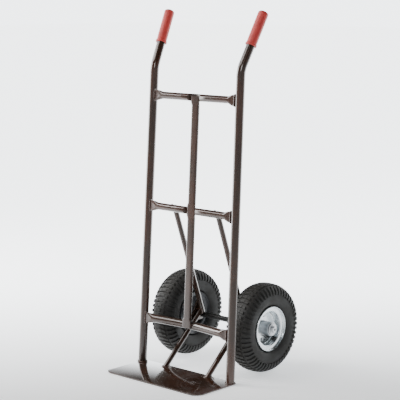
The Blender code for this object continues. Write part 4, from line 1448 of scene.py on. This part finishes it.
@dataclass
class Studio:
    """A plain pale floor, soft lights and the camera."""

    camera_place: tuple[float, float, float] = (2.5755, -2.8337, 1.0967)
    camera_target: tuple[float, float, float] = (0.0322, -0.0456, 0.5067)
    lens: float = 121.2
    sensor: float = 36.0
    floor_size: float = 60.0
    floor_colour: Colour = (0.86, 0.86, 0.86)
    sky: Colour = (0.93, 0.97, 1.00)
    floor_glow: float = 3.6
    low_strength: float = 4.4
    high_strength: float = 0.12
    haze_top: float = 0.42
    haze_bottom: float = 0.02
    dim: float = 0.12
    bright_from: float = 0.85
    glow_from: float = -0.7
    glow_full: float = 1.3
    sun_strength: float = 2.0

    def build(self) -> None:
        """Makes the floor, the light and the camera."""
        self.build_floor()
        self.build_world()
        self.add_light("key", (-2.6, -1.4, 1.9), (1.1, 1.6), 60.0)
        self.add_light("side", (-2.2, -0.5, 0.8), (1.9, 1.5), 34.0)
        self.add_light("fill", (2.2, -3.4, 2.6), (1.2, 1.2), 40.0)
        self.add_light("back", (0.6, 3.2, 2.2), (2.0, 2.0), 60.0)
        self.add_sun()
        self.build_camera()

    def build_floor(self) -> None:
        """Makes the floor."""
        start_clean()
        bpy.ops.mesh.primitive_plane_add(size=self.floor_size, location=(0, 0, -0.0005))
        floor = bpy.context.active_object
        floor.name = floor.data.name = "studio_floor"
        g = Graph("studio_floor")
        g.shader.inputs["Emission Strength"].default_value = self.floor_glow
        ahead = self.ahead()
        across = g.math("MULTIPLY", g.axis("X"), ahead.x)
        far = g.math("MULTIPLY_ADD", g.axis("Y"), ahead.y, across)
        glow = g.mix(g.step(far, self.glow_from, self.glow_full), (0.0, 0.0, 0.0), self.sky)
        floor.data.materials.append(g.shade(Base_Color=self.floor_colour, Roughness=0.7, Emission_Color=glow))

    def ahead(self) -> Vector:
        """The level direction that the camera looks in."""
        way = Vector(self.camera_target) - Vector(self.camera_place)
        return Vector((way.x, way.y, 0.0)).normalized()

    def build_world(self) -> None:
        """Lights the truck from a bright backdrop, with a dim room on the camera's side."""
        world = bpy.data.worlds.new("studio")
        bpy.context.scene.world = world
        world.use_nodes = True
        tree = world.node_tree
        background = tree.nodes["Background"]
        background.inputs["Color"].default_value = (*self.sky, 1.0)
        direction = tree.nodes.new("ShaderNodeTexCoord")
        parts = tree.nodes.new("ShaderNodeSeparateXYZ")
        fade = tree.nodes.new("ShaderNodeMapRange")
        fade.interpolation_type = "SMOOTHSTEP"
        fade.inputs["From Min"].default_value = self.haze_bottom
        fade.inputs["From Max"].default_value = self.haze_top
        fade.inputs["To Min"].default_value = self.low_strength
        fade.inputs["To Max"].default_value = self.high_strength
        facing = tree.nodes.new("ShaderNodeVectorMath")
        facing.operation = "DOT_PRODUCT"
        facing.inputs[1].default_value = self.ahead()
        room = tree.nodes.new("ShaderNodeMapRange")
        room.interpolation_type = "SMOOTHSTEP"
        room.inputs["From Min"].default_value = 0.0
        room.inputs["From Max"].default_value = self.bright_from
        room.inputs["To Min"].default_value = self.dim
        room.inputs["To Max"].default_value = 1.0
        both = tree.nodes.new("ShaderNodeMath")
        both.operation = "MULTIPLY"
        tree.links.new(direction.outputs["Generated"], parts.inputs[0])
        tree.links.new(direction.outputs["Generated"], facing.inputs[0])
        tree.links.new(facing.outputs["Value"], room.inputs["Value"])
        tree.links.new(parts.outputs["Z"], fade.inputs["Value"])
        tree.links.new(fade.outputs[0], both.inputs[0])
        tree.links.new(room.outputs[0], both.inputs[1])
        tree.links.new(both.outputs[0], background.inputs["Strength"])

    def add_sun(self) -> None:
        """Lights the whole floor evenly."""
        data = bpy.data.lights.new("sun", "SUN")
        data.energy = self.sun_strength
        data.angle = math.radians(40)
        sun = bpy.data.objects.new("sun", data)
        bpy.context.scene.collection.objects.link(sun)
        sun.rotation_euler = (math.radians(28), math.radians(-24), 0)

    def add_light(self, name: str, place: Sequence[float], size: tuple[float, float], watts: float) -> None:
        """Adds a soft oblong light that faces the truck."""
        data = bpy.data.lights.new(name, "AREA")
        data.shape = "RECTANGLE"
        data.size, data.size_y = size
        data.energy = watts
        light = bpy.data.objects.new(name, data)
        bpy.context.scene.collection.objects.link(light)
        light.location = place
        light.rotation_euler = (Vector((0, 0, 0.5)) - Vector(place)).to_track_quat("-Z", "Y").to_euler()

    def build_camera(self) -> None:
        """Places the camera."""
        data = bpy.data.cameras.new("camera")
        data.lens = self.lens
        data.sensor_width = self.sensor
        camera = bpy.data.objects.new("camera", data)
        bpy.context.scene.collection.objects.link(camera)
        place, target = Vector(self.camera_place), Vector(self.camera_target)
        camera.location = place
        camera.rotation_euler = (target - place).to_track_quat("-Z", "Y").to_euler()
        bpy.context.scene.camera = camera


def main() -> None:
    """Builds the looks in order."""
    logging.basicConfig(level=logging.INFO, format="%(message)s")
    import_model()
    rails = Rails()
    rails.build()
    bars = [
        Crossbar("top_crossbar", 0.796, 0.021, False, rails),
        Crossbar("middle_crossbar", 0.473, 0.021, False, rails),
        Crossbar("lower_crossbar", 0.139, 0.024, True, rails),
    ]
    for bar in bars:
        bar.build()
    Upright().build()
    ToePlate().build()
    struts = Struts()
    struts.build()
    Welds(rails, bars, struts).build()
    Axle().build()
    for side in Side:
        Tyre().build(side)
        WheelCentre().build(side)
    Studio().build()
    LOG.info("%d pieces", MAKER.count)


if __name__ == "__main__":
    main()
